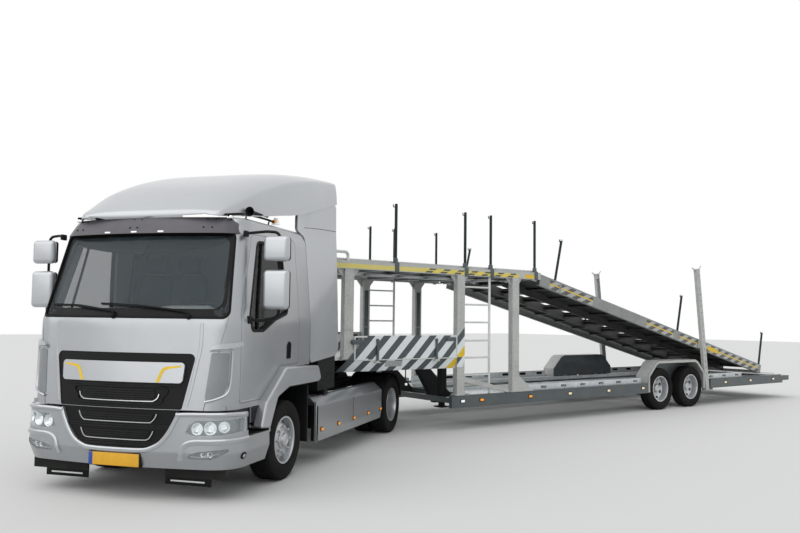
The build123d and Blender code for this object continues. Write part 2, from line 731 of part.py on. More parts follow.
# Tanks and boxes hung between the skirts and the frame rails
with BuildPart() as tanks:
    with BuildSketch(Plane.YZ.offset(-2750)):
        with Locations((740, 470)):
            RectangleRounded(480, 320, 60)
    extrude(amount=1000)
    with BuildSketch(Plane.YZ.offset(-1500)):
        with Locations((740, 500), (-740, 500)):
            RectangleRounded(440, 260, 20)
    extrude(amount=520)
    with BuildSketch(Plane.YZ.offset(-2700)):
        with Locations((-650, 520), (-900, 520)):
            Circle(115)
    extrude(amount=900)
    for y0, y1 in ((rail_outer_y, 560), (-560, -rail_outer_y)):
        for x in (-2500, -2000, -1400):
            block(x - 20, x + 20, y0, y1, 480, 520)
    block(-2500, -2480, -900, -650, 500, 540)
    block(-2100, -2080, -900, -650, 500, 540)
keep(tanks, "tanks", park)

# Black mudguards: the spat behind each front wheel, the box behind the cab, arcs over the twins
guard_inner = tyre_radius + 50
guard_sheet = 8
guard_in_y, guard_out_y = 560, 1112
with BuildPart() as rear_guard:
    with BuildSketch(Plane.XZ.offset(-guard_out_y)) as ring:
        with Locations((-wheelbase, tyre_radius)):
            Circle(guard_inner + guard_sheet)
            Circle(guard_inner, mode=Mode.SUBTRACT)
        with Locations((-wheelbase, tyre_radius - 600)):
            Rectangle(1400, 1200 + 2 * 90, mode=Mode.SUBTRACT)
    extrude(amount=guard_out_y - guard_in_y)
    block(-wheelbase - 20, -wheelbase + 20, rail_outer_y, guard_in_y + 10,
          tyre_radius + guard_inner - 150, tyre_radius + guard_inner - 130)
    block(-wheelbase - 20, -wheelbase + 20, guard_in_y, guard_in_y + 10, tyre_radius + guard_inner - 150,
          tyre_radius + guard_inner + 3)
with BuildPart() as tractor_mudguards:
    add(rear_guard.part)
    # spat
    block(-560, -535, rail_outer_y + 100, 1060, 300, 900)
    block(-560, -535, rail_outer_y, rail_outer_y + 100, 680, 720)
    # rear box on its foot
    block(-1470, -940, 870, 1010, 800, 1240)
    block(-1250, -1150, rail_outer_y - 60, 1010, rail_top + 8, 800)
    block(-1250, -1150, rail_outer_y - 60, rail_outer_y, rail_top, rail_top + 8)
    mirror(about=Plane.XZ)
    # flaps under the bumper
    for side in (1, -1):
        block(rail_front + 10, rail_front + 22, side * 400, side * 860, 195, 505)
        block(rail_front + 10, rail_front + 22, side * 860, side * 1000, 195, 288)
keep(tractor_mudguards, "tractor_mudguards", park)

# Trailer mudguards' outline, outside and inside
guard_arch = ((-6235, 340), (-6235, 640), (-6470, 865), (-6560, 905), (-7760, 905), (-7850, 865), (-8075, 650), (-8075, 340))
guard_arch_in = ((-8065, 340), (-8065, 646), (-7843, 857), (-7757, 895), (-6563, 895), (-6477, 857), (-6245, 636), (-6245, 340))

# Trailer frame: kingpin and platform, swan neck, lower ladder frame
neck_beam_y = 470
neck_beam_width = 90
drop_foot_x = -2100
beam_top = 480
beam_lines = ((-neck_beam_y - neck_beam_width / 2, -neck_beam_y + neck_beam_width / 2),
              (neck_beam_y - neck_beam_width / 2, neck_beam_y + neck_beam_width / 2))
cross_members_x = [x for x in (-1530, -2150, -2750, -3350, -3950, -4550, -5150, -5750, -8450, -9050, -9650, -10250,
                               -10850) if x > lower_rear + 150]
with BuildPart() as neck_frame:
    block(-650, platform_nose, -760, 760, coupling_height + fit_gap, coupling_height + 12)
    for y0, y1 in beam_lines:
        block(platform_rear - 60, platform_nose, y0, y1, coupling_height + 12, platform_floor - 5)
    for x in (-1290, -650, 0, 650, platform_nose - 60):
        block(x, x + 60, -1200, 1200, coupling_height + 12, platform_floor - 5)
    upright(0, 0, kingpin_radius, coupling_height - kingpin_length, coupling_height + 12)
keep(neck_frame, "neck_frame", level)

# The neck's two beams drop from the platform to the lower frame
with BuildPart() as neck_drop:
    for y0, y1 in beam_lines:
        side_shape(((platform_rear - 60, coupling_height + 12), (platform_rear - 60, platform_floor - 5),
                    (-1600, 960), (drop_foot_x, beam_top), (drop_foot_x, rail_low_z), (-1800, rail_low_z),
                    (-1480, 820)), y0, y1)
keep(neck_drop, "neck_drop", level)

with BuildPart() as trailer_frame:
    # beams over the axles to the tail
    for y0, y1 in beam_lines:
        side_shape(((drop_foot_x, beam_top), (lower_rear + 60, beam_top), (lower_rear + 60, 370), (-6000, 370),
                    (-5960, rail_low_z), (drop_foot_x, rail_low_z)), y0, y1)
    for x0, x1 in ((guard_arch[0][0], lower_front), (lower_rear + 60, -8280)):
        for y0, y1 in ((trailer_half_width - side_rail_depth, trailer_half_width),
                       (-trailer_half_width, side_rail_depth - trailer_half_width)):
            block(x0, x1, y0, y1, rail_low_z, rail_high_z)
    for x in cross_members_x:
        block(x - 30, x + 30, -trailer_half_width + side_rail_depth, trailer_half_width - side_rail_depth, 400, 480)
    # lugs and pins for the masts
    for y0, y1, p0, p1 in ((1172, 1186, 1180, 1250), (-1186, -1172, -1250, -1180)):
        block(-8480, mast_foot_x + 70, y0, y1, mast_foot_z - 40, mast_foot_z + 50)
        block(-8480, -8420, y0, y1, mast_foot_z, 480)
        across(mast_foot_x, mast_foot_z, mast_pin_radius, p0, p1)
    # tail bar with the two holes for a plate
    block(lower_rear, lower_rear + 60, -trailer_half_width, trailer_half_width, 330, 480)
    block(tail_rear, lower_rear, -trailer_half_width, trailer_half_width, 380, 480)
    for y in (-plate_pitch / 2, plate_pitch / 2):
        with BuildSketch(Plane.YZ.offset(tail_rear - 5)) as plate_hole:
            with Locations((y, 430)):
                Circle(plate_hole_radius)
        extrude(plate_hole.sketch, amount=400, mode=Mode.SUBTRACT)
keep(trailer_frame, "trailer_frame", level)

# Platform floor and the striped side panels, folded inwards at their lower edge
panel_low, panel_fold, panel_top = 909, 1073, 1387
panel_rear = -1590
with BuildPart() as side_panels:
    front_shape(((trailer_half_width, panel_fold), (trailer_half_width, panel_top), (trailer_half_width - 12, panel_top),
                 (trailer_half_width - 12, panel_fold), (1198, panel_low), (1210, panel_low)), panel_rear, platform_nose)
    for x in (-1260, -620, 30, 680):
        block(x - 15, x + 15, 1200, trailer_half_width - 12, 1000, 1060)
    mirror(about=Plane.XZ)
    block(platform_rear, platform_nose, -trailer_half_width + 12, trailer_half_width - 12,
          platform_floor - 5, platform_floor + 3)
keep(side_panels, "side_panels", level)

# Deck posts: two corner posts on the platform, four on the lower rails, with their gussets
post_rows = ((313, platform_floor + 3), (-1665, rail_high_z), (-2810, rail_high_z))
post_in_y = trailer_half_width - post_depth
with BuildPart() as deck_posts:
    for x, base in post_rows:
        if base > rail_high_z:
            block(x - post_length / 2, x + post_length / 2, post_in_y - 12, trailer_half_width - 12, base, upper_beam_low)
        else:
            block(x - post_length / 2, x + post_length / 2, post_in_y, trailer_half_width, base, upper_beam_low)
    gusset_x = post_rows[2][0] - post_length / 2
    side_shape(((gusset_x, rail_high_z), (gusset_x, 760), (gusset_x - 330, rail_high_z)), 1205, trailer_half_width)
    # slanted bar from the platform down to the rail
    side_shape(((-1737.5, 700), (-1737.5, 780), (-2660, 560), (-2660, rail_high_z)), 1228, trailer_half_width)
    mirror(about=Plane.XZ)
keep(deck_posts, "deck_posts", level)

# Wheel tracks of the lower deck: floor plates with slotted outer edges
slot_pitch = 485
slot_length, slot_height = 130, 34
edge_high = 600
tail_step = -9600
with BuildPart() as wheel_tracks:
    for x0, x1 in ((-6160, -2100), (lower_rear + 60, -8160)):
        block(x0, x1, track_inner_y, track_outer_y, 480, 480 + track_sheet)
    block(-8160, -6160, track_inner_y, 985, 480, 480 + track_sheet)
    block(-10300, -2100, track_inner_y, track_inner_y + track_sheet, 480 + track_sheet, 540)
    for x0, x1 in ((-6160, -2660), (tail_step, -8160)):
        block(x0, x1, track_outer_y, track_outer_y + track_sheet, 480, edge_high)
        count = int((x1 - x0 - 200) // slot_pitch) + 1
        for i in range(count):
            x = x0 + 180 + i * slot_pitch
            block(x - slot_length / 2, x + slot_length / 2, track_outer_y - 5, track_outer_y + track_sheet + 5,
                  535, 535 + slot_height, mode=Mode.SUBTRACT)
    mirror(about=Plane.XZ)
keep(wheel_tracks, "wheel_tracks", level)

# Upper deck, fixed part: side beams, cross members and two troughed floor tracks
floor_sheet = 6
upper_floor = 2350
with BuildPart() as upper_deck:
    block(hinge_x + 45, trailer_nose, trailer_half_width - 70, trailer_half_width, upper_beam_low, upper_beam_high)
    block(hinge_x + 45, trailer_nose, 300, 340, 2290, upper_floor)
    block(hinge_x + 45, trailer_nose - 30, 340, trailer_half_width - 70, upper_floor - floor_sheet, upper_floor)
    mirror(about=Plane.XZ)
    for x in (hinge_x + 105, -2810, -2240, -1665, -1000, -350, 313, 900, trailer_nose - 60):
        block(x - 30 if x < 1200 else x, x + 30 if x < 1200 else x + 60, -trailer_half_width + 70,
              trailer_half_width - 70, 2290, upper_floor - floor_sheet)
    # hinge ears, one at each end of the crossbeam, with their bores
    for y0, y1 in ((1085, 1115), (-1115, -1085), (345, 375), (-375, -345)):
        side_shape(((hinge_x + 80, 2265), (hinge_x + 80, 2344), (hinge_x - 30, 2330), (hinge_x - 35, 2268)), y0, y1)
        across(hinge_x, hinge_z, 20 + shaft_gap, y0 - 5, y1 + 5, mode=Mode.SUBTRACT)
keep(upper_deck, "upper_deck", level)

# Rear upper deck, drawn level and then lowered about its hinge
deck_end = hinge_x - deck_length
crossing_x = hinge_x + (mast_foot_x - hinge_x + (1188 - mast_foot_z) * tan(radians(mast_lean))) / cos(radians(deck_slope))
flap_pin = (deck_end - 26, 2228)
flap_pin_radius = 10
flap_lugs_y = (-1040, -360, 360, 1040)
with BuildPart() as tilting_deck:
    block(deck_end, hinge_x - 60, deck_outer_y - 60, deck_outer_y, deck_beam_low, upper_beam_high)
    block(deck_end, hinge_x - 60, 300, 340, deck_beam_low, upper_floor)
    block(deck_end, hinge_x - 60, 340, deck_outer_y - 60, upper_floor - floor_sheet, upper_floor)
    mirror(about=Plane.XZ)
    for i in range(13):
        x = hinge_x - 90 - i * (deck_length - 60) / 12.2
        block(x - 25, x + 25, -deck_outer_y + 60, deck_outer_y - 60, 2250, upper_floor - floor_sheet)
    # hinge lugs and their pins
    for y0, y1 in ((1050, 1080), (-1080, -1050), (380, 410), (-410, -380)):
        side_shape(((hinge_x - 65, 2262), (hinge_x - 65, 2344), (hinge_x + 25, 2330), (hinge_x + 30, 2275)), y0, y1)
    for y0, y1 in ((1055, 1120), (-1120, -1055), (340, 405), (-405, -340)):
        across(hinge_x, hinge_z, 20, y0, y1)
    # brackets that the masts hold, and the flap's lugs at the rear end
    for y0, y1 in ((deck_outer_y, mast_in_y - 6), (6 - mast_in_y, -deck_outer_y)):
        block(crossing_x - 70, crossing_x + 70, y0, y1, 2215, 2375)
    block(deck_end, deck_end + 50, -deck_outer_y + 60, deck_outer_y - 60, deck_beam_low, 2260)
    for y in flap_lugs_y:
        block(flap_pin[0] - 20, deck_end + 10, y - 8, y + 8, deck_beam_low, 2250)
        across(flap_pin[0], flap_pin[1], flap_pin_radius + shaft_gap, y - 10, y + 10, mode=Mode.SUBTRACT)
keep(tilting_deck, "tilting_deck", lowered)

# Loading flap at the deck's rear end, lying level on its pin
flap_turn = radians(deck_slope)
flap_x = hinge_x + (flap_pin[0] - hinge_x) * cos(flap_turn) - (flap_pin[1] - hinge_z) * sin(flap_turn)
flap_z = hinge_z + (flap_pin[0] - hinge_x) * sin(flap_turn) + (flap_pin[1] - hinge_z) * cos(flap_turn)
flap_half_width = 1095
with BuildPart() as loading_flap:
    side_shape(((flap_x, flap_z - 6), (flap_x, flap_z + 6), (flap_x - flap_length, 522), (flap_x - flap_length, 512)),
               -flap_half_width, flap_half_width)
    for y in flap_lugs_y:
        block(flap_x - 40, flap_x + 40, y - 16, y + 16, flap_z - 60, flap_z + 60, mode=Mode.SUBTRACT)
    across(flap_x, flap_z, flap_pin_radius, -flap_half_width, flap_half_width)
keep(loading_flap, "loading_flap", level)

# Masts that lift the rear deck
with BuildPart() as masts:
    block(mast_foot_x - 60, mast_foot_x + 60, mast_in_y, mast_out_y, mast_foot_z - 30, mast_top)
    block(mast_foot_x - 68, mast_foot_x + 68, mast_in_y - 4, mast_out_y + 4, mast_top, mast_top + 20)
    across(mast_foot_x, mast_foot_z, mast_pin_radius + shaft_gap, mast_in_y - 2, mast_out_y + 2, mode=Mode.SUBTRACT)
    mirror(about=Plane.XZ)
keep(masts, "masts", leaning)

# Stakes on the side beams
with BuildPart() as deck_stakes:
    for x in (-465, -1765, -2293, -3269):
        upright(x, trailer_half_width - 35, stake_radius, upper_beam_high, upper_beam_high + stake_height)
        block(x - 10, x + 45, trailer_half_width - 45, trailer_half_width - 25, upper_beam_high + stake_height - 60,
              upper_beam_high + stake_height - 40)
    mirror(about=Plane.XZ)
with BuildPart() as slope_stakes:
    for x in (hinge_x - 440, hinge_x - 4030, deck_end + 50):
        upright(x, deck_outer_y - 30, stake_radius, upper_beam_high, upper_beam_high + stake_height - 120)
    mirror(about=Plane.XZ)
keep(slope_stakes, "stakes_tilting", lowered)

# Guard rail round the nose of the upper deck
rail_tube = 21
with BuildPart() as guard_rail:
    with BuildLine() as route:
        FilletPolyline([(330, 1228, upper_beam_high), (330, 1228, 2500), (1265, 1228, 2500), (1265, -1228, 2500),
                        (330, -1228, 2500), (330, -1228, upper_beam_high)], radius=90)
    with BuildSketch(Plane(origin=(330, 1228, upper_beam_high), z_dir=(0, 0, 1))):
        Circle(rail_tube)
    sweep(path=route.wire())

# Ladders behind the middle posts
rung_heights = (650, 793, 1054, 1306, 1579, 1843, 2107)
ladder_x = -2220
with BuildPart() as ladders:
    block(ladder_x - 20, ladder_x + 20, 1202, 1222, rail_high_z, upper_beam_low)
    for z in rung_heights:
        block(ladder_x + 20, -1665 - post_length / 2, 1202, 1222, z - 13, z + 13)
    mirror(about=Plane.XZ)
with BuildPart() as deck_rails:
    add(deck_stakes.part)
    add(guard_rail.part)
    add(ladders.part)
keep(deck_rails, "deck_rails", level)

# Trailer mudguards: a cranked arch over both wheels on each side, with an inner wall
with BuildPart() as trailer_mudguards:
    side_shape(guard_arch + guard_arch_in, 1000, trailer_half_width)
    side_shape(((-6235, 500), (-6235, 640), (-6470, 865), (-6560, 905), (-7760, 905), (-7850, 865), (-8075, 650),
                (-8075, 500)), 988, 1000)
    mirror(about=Plane.XZ)
keep(trailer_mudguards, "trailer_mudguards", level)

# Trailer axles: a dropped tube with cranked ends, and its seats under the frame beams
dropped_axle_z = 290
with BuildPart() as trailer_axles:
    for x in trailer_axles_x:
        across(x, dropped_axle_z, 55, -940, 940)
        for y0, y1 in ((900, 940), (-940, -900)):
            block(x - 70, x + 70, y0, y1, dropped_axle_z - 50, trailer_axle_z + 60)
        for y0, y1 in ((940, 1138), (-1138, -940)):
            across(x, trailer_axle_z, trailer_stub_radius, y0, y1)
        for y in (-neck_beam_y, neck_beam_y):
            block(x - 70, x + 70, y - 45, y + 45, dropped_axle_z, 370)
keep(trailer_axles, "trailer_axles", level)

for axle, x in enumerate(trailer_axles_x, start=1):
    for name, side in (("left", 1), ("right", -1)):
        stand = wheel_stand(x, trailer_tyre_y, trailer_axle_z, side)
        with BuildPart() as trailer_tyre:
            tyre(trailer_tyre_radius, trailer_tyre_width)
        keep(trailer_tyre, "tyre_trailer_%d_%s" % (axle, name), stand)
        with BuildPart() as trailer_rim:
            rim(trailer_tyre_radius, trailer_tyre_width, -50, 35, 90, trailer_stub_radius + shaft_gap, 80, 40)
        keep(trailer_rim, "rim_trailer_%d_%s" % (axle, name), stand)

# Landing legs, wound up for the road
with BuildPart() as landing_legs:
    for y in (-900, 900):
        block(-1660, -1560, y - 50, y + 50, 420, 1000)
        block(-1645, -1575, y - 35, y + 35, 330, 420)
        block(-1690, -1530, y - 90, y + 90, 312, 330)
        block(-1600, -1560, min(y, y / 1.6), max(y, y / 1.6), 900, 960)
keep(landing_legs, "landing_legs", level)

# One origin for every piece: under the middle of the whole lorry's box, on the ground
outermost = ("front_bumper", "mirrors_left", "trailer_frame")
boxes = [solid.bounding_box() for label, solid in pieces if label in outermost]
low_x, high_x = min(b.min.X for b in boxes), max(b.max.X for b in boxes)
low_y, high_y = min(b.min.Y for b in boxes), max(b.max.Y for b in boxes)
origin = Location((-(low_x + high_x) / 2, -(low_y + high_y) / 2, 0))

os.makedirs("parts", exist_ok=True)
for label, solid in pieces:
    stood = solid.moved(origin)
    stood.label = label
    export_step(stood, "parts/" + label + ".step")
print("kingpin stands at", origin.position)
print("box", low_x, high_x, low_y, high_y)
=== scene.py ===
import json
import math

import bmesh
import bpy
import numpy as np
from mathutils import Matrix, Vector

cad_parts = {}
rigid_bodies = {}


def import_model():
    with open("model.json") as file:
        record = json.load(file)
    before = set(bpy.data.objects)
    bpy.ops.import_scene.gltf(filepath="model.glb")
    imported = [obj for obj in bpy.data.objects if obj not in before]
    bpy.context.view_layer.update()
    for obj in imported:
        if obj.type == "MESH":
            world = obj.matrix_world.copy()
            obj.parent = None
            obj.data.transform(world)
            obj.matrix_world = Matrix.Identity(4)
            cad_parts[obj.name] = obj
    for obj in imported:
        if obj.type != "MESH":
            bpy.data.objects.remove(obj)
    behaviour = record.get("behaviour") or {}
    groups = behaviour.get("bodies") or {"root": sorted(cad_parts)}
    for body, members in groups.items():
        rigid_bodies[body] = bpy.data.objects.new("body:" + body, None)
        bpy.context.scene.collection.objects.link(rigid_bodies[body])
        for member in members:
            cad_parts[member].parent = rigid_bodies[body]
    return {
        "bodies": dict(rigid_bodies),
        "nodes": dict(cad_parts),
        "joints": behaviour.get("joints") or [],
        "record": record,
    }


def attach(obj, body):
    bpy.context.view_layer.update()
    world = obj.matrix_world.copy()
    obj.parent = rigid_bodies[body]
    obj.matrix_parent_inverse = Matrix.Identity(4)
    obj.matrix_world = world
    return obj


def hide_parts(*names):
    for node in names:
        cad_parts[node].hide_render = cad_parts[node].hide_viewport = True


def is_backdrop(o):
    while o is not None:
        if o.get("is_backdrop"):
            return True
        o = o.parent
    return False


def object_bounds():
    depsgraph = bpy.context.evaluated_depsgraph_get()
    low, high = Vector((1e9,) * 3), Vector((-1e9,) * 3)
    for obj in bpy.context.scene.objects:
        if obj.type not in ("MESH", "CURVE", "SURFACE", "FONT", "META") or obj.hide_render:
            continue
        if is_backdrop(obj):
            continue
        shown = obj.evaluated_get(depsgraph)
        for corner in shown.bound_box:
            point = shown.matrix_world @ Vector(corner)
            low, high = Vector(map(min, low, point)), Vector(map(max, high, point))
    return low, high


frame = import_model()
cadLow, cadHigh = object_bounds()
sizeLines = [list(cadLow), list(cadHigh)]

# Where the pieces are drawn: the trailer from its kingpin, the tractor from its front axle,
# the rear deck level about its hinge and the masts upright on their feet
kingpin = (3.5353, -1.19639, 0)
stands = {"turn": 36.3, "kingpinBack": 3.455, "hinge": (-3.42, 0, 2.3), "slope": 13.4,
    "mastFoot": (-8.19, 0, 0.33), "lean": 7.0}


def turnAbout(point, degrees, axis):
    # a turn about an axis through a point: there, turned, and back
    back = Matrix.Translation([-c for c in point])
    return Matrix.Translation(point) @ Matrix.Rotation(math.radians(degrees), 4, axis) @ back


trailerPlace = Matrix.Translation(kingpin)
tractorPlace = (trailerPlace @ Matrix.Rotation(math.radians(stands["turn"]), 4, "Z")
    @ Matrix.Translation((stands["kingpinBack"], 0, 0)))
deckPlace = trailerPlace @ turnAbout(stands["hinge"], -stands["slope"], "Y")
mastPlace = trailerPlace @ turnAbout(stands["mastFoot"], stands["lean"], "Y")
mirror = Matrix.Scale(-1, 4, (0, 1, 0))
scene = bpy.context.scene
scene.view_settings.view_transform = "Standard"


# Camera
camera = {"at": (9.6603, 8.73461, 1.62), "yaw": 232.54, "pitch": 3.8, "roll": 0.7, "lens": 35.39}


def makeCamera():
    yaw, pitch, roll = (math.radians(camera[k]) for k in ("yaw", "pitch", "roll"))
    ahead = Vector((math.cos(yaw) * math.cos(pitch), math.sin(yaw) * math.cos(pitch), math.sin(pitch)))
    right = Vector((math.sin(yaw), -math.cos(yaw), 0))
    up = right.cross(ahead)
    side = right * math.cos(roll) + up * math.sin(roll)
    top = up * math.cos(roll) - right * math.sin(roll)
    data = bpy.data.cameras.new("camera")
    data.lens = camera["lens"]
    data.sensor_width = 36
    data.clip_end = 200
    obj = bpy.data.objects.new("camera", data)
    obj.matrix_world = Matrix.Translation(camera["at"]) @ Matrix((side, top, -ahead)).transposed().to_4x4()
    scene.collection.objects.link(obj)
    scene.camera = obj


makeCamera()
print("camera stands")


# Materials. A hex colour is turned to linear, and one function adds a node with its links.
def fromHex(text):
    parts = [int(text[i:i + 2], 16) / 255 for i in (1, 3, 5)]
    return [c / 12.92 if c <= 0.04045 else ((c + 0.055) / 1.055) ** 2.4 for c in parts] + [1.0]


def addNode(tree, kind, settings, links=()):
    node = tree.nodes.new(kind)
    for key, value in settings.items():
        if isinstance(key, int) or key in node.inputs:
            node.inputs[key].default_value = value
        else:
            setattr(node, key, value)
    for key, source in dict(links).items():
        tree.links.new(source, node.inputs[key])
    return node


def newMaterial(name):
    material = bpy.data.materials.new(name)
    material.use_nodes = True
    tree = material.node_tree
    return material, tree, tree.nodes["Principled BSDF"]


def feed(tree, node, values):
    # each input takes a plain value or a link
    for key, value in values.items():
        if isinstance(value, (float, int, list)):
            node.inputs[key].default_value = value
        else:
            tree.links.new(value, node.inputs[key])
    return node


def mixColors(tree, factor, a, b, blend="MIX"):
    node = addNode(tree, "ShaderNodeMix", {"data_type": "RGBA", "blend_type": blend})
    return feed(tree, node, {0: factor, 6: a, 7: b}).outputs[2]


def reckon(tree, operation, *values):
    node = addNode(tree, "ShaderNodeMath", {"operation": operation})
    return feed(tree, node, dict(enumerate(values))).outputs[0]


def objectCoordinates(tree):
    return addNode(tree, "ShaderNodeTexCoord", {}).outputs["Object"]


def noiseValue(tree, where, size, low, high, detail=3.0):
    # noise whose grains are about size millimetres across, spread from low to high
    noise = addNode(tree, "ShaderNodeTexNoise", {"Scale": 1000.0 / size, "Detail": detail}, {"Vector": where})
    spread = addNode(tree, "ShaderNodeMapRange", {"From Min": 0.3, "From Max": 0.7, "To Min": low,
        "To Max": high}, {"Value": noise.outputs["Fac"]})
    return spread.outputs["Result"]


def finishSurface(tree, shader, where, recipe):
    # roughness that varies in patches, and bump grains
    rough = recipe["roughness"]
    spread = recipe.get("roughSpread", 0.06)
    tree.links.new(noiseValue(tree, where, recipe.get("roughGrain", 60), rough - spread, rough + spread),
        shader.inputs["Roughness"])
    if recipe.get("bump"):
        grain = noiseValue(tree, where, recipe["bumpGrain"], 0.0, 1.0, 2.0)
        bump = addNode(tree, "ShaderNodeBump", {"Strength": recipe["bump"],
            "Distance": recipe["bumpDepth"] / 1000}, {"Height": grain})
        tree.links.new(bump.outputs["Normal"], shader.inputs["Normal"])


def grimed(tree, where, color, recipe):
    # the clean colour with patches of grime, more of it near the ground
    if not recipe.get("grime"):
        return color
    patches = noiseValue(tree, where, 350, 0.0, recipe["grime"], 5.0)
    split = addNode(tree, "ShaderNodeSeparateXYZ", {}, {0: where})
    height = addNode(tree, "ShaderNodeMapRange", {"From Min": 0.25, "From Max": 1.1, "To Min": 1.0,
        "To Max": 0.35}, {"Value": split.outputs["Z"]})
    amount = reckon(tree, "MULTIPLY", patches, height.outputs["Result"])
    return mixColors(tree, amount, color, fromHex(recipe.get("grimeColor", "#5f5a50")))


def plainMaterial(name, recipe):
    material, tree, shader = newMaterial(name)
    where = objectCoordinates(tree)
    base = fromHex(recipe["color"])
    second = fromHex(recipe.get("second", recipe["color"]))
    color = mixColors(tree, noiseValue(tree, where, recipe.get("patch", 120), 0.0, 1.0, 4.0), base, second)
    if recipe.get("spangle"):
        # zinc crystals as cells, each a shade lighter or darker
        cells = addNode(tree, "ShaderNodeTexVoronoi", {"Scale": 1000.0 / recipe["spangle"]},
            {"Vector": where})
        shade = addNode(tree, "ShaderNodeMapRange", {"From Min": 0.0, "From Max": 1.0, "To Min": 0.84,
            "To Max": 1.1}, {"Value": cells.outputs["Color"]})
        color = mixColors(tree, 1.0, color, shade.outputs["Result"], "MULTIPLY")
    color = grimed(tree, where, color, recipe)
    tree.links.new(color, shader.inputs["Base Color"])
    shader.inputs["Metallic"].default_value = recipe.get("metallic", 0.0)
    if "ior" in recipe:
        shader.inputs["IOR"].default_value = recipe["ior"]
    if "specular" in recipe:
        shader.inputs["Specular IOR Level"].default_value = recipe["specular"]
    if recipe.get("coat"):
        shader.inputs["Coat Weight"].default_value = recipe["coat"]
        shader.inputs["Coat Roughness"].default_value = recipe.get("coatRoughness", 0.06)
    if recipe.get("glow"):
        shader.inputs["Emission Color"].default_value = fromHex(recipe["color"])
        shader.inputs["Emission Strength"].default_value = recipe["glow"]
    finishSurface(tree, shader, where, recipe)
    return material


def clearMaterial(name, color, roughness, weight):
    # clear sheet that shows what is behind it: part plain see-through, part gloss
    material, tree, shader = newMaterial(name)
    shader.inputs["Base Color"].default_value = fromHex(color)
    shader.inputs["IOR"].default_value = 1.5
    shader.inputs["Alpha"].default_value = weight
    where = objectCoordinates(tree)
    smear = noiseValue(tree, where, 240, roughness, roughness + 0.03)
    tree.links.new(smear, shader.inputs["Roughness"])
    return material


def stripeMaterial(name, recipe):
    # slanted stripes: the stripe number is along/period + rise*height, its remainder picks the colour
    material, tree, shader = newMaterial(name)
    where = objectCoordinates(tree)
    back = recipe.get("unturn")
    if back:
        # the stripes are measured along the lowered deck
        where = addNode(tree, "ShaderNodeMapping", {"vector_type": "TEXTURE", "Location": back[0],
            "Rotation": back[1]}, {"Vector": where}).outputs[0]
    split = addNode(tree, "ShaderNodeSeparateXYZ", {}, {0: where})
    slant = reckon(tree, "MULTIPLY_ADD", split.outputs["Z"], recipe["rise"], split.outputs["X"])
    count = reckon(tree, "ADD", reckon(tree, "DIVIDE", slant, recipe["period"] / 1000),
        recipe.get("shift", 0.0))
    dark = reckon(tree, "LESS_THAN", reckon(tree, "FLOORED_MODULO", count, 1.0), recipe["share"])
    color = mixColors(tree, dark, fromHex(recipe["light"]), fromHex(recipe["dark"]))
    worn = noiseValue(tree, where, 45, 0.0, recipe.get("wear", 0.3), 5.0)
    color = mixColors(tree, worn, color, fromHex(recipe.get("wornTo", "#9a9d9c")))
    color = grimed(tree, where, color, recipe)
    tree.links.new(color, shader.inputs["Base Color"])
    finishSurface(tree, shader, where, recipe)
    return material


def recipe(color, second, patch, roughness, **more):
    # a finish: two colours in patches of so many millimetres, the roughness, and what else it needs
    return {"color": color, "second": second or color, "patch": patch, "roughness": roughness, **more}


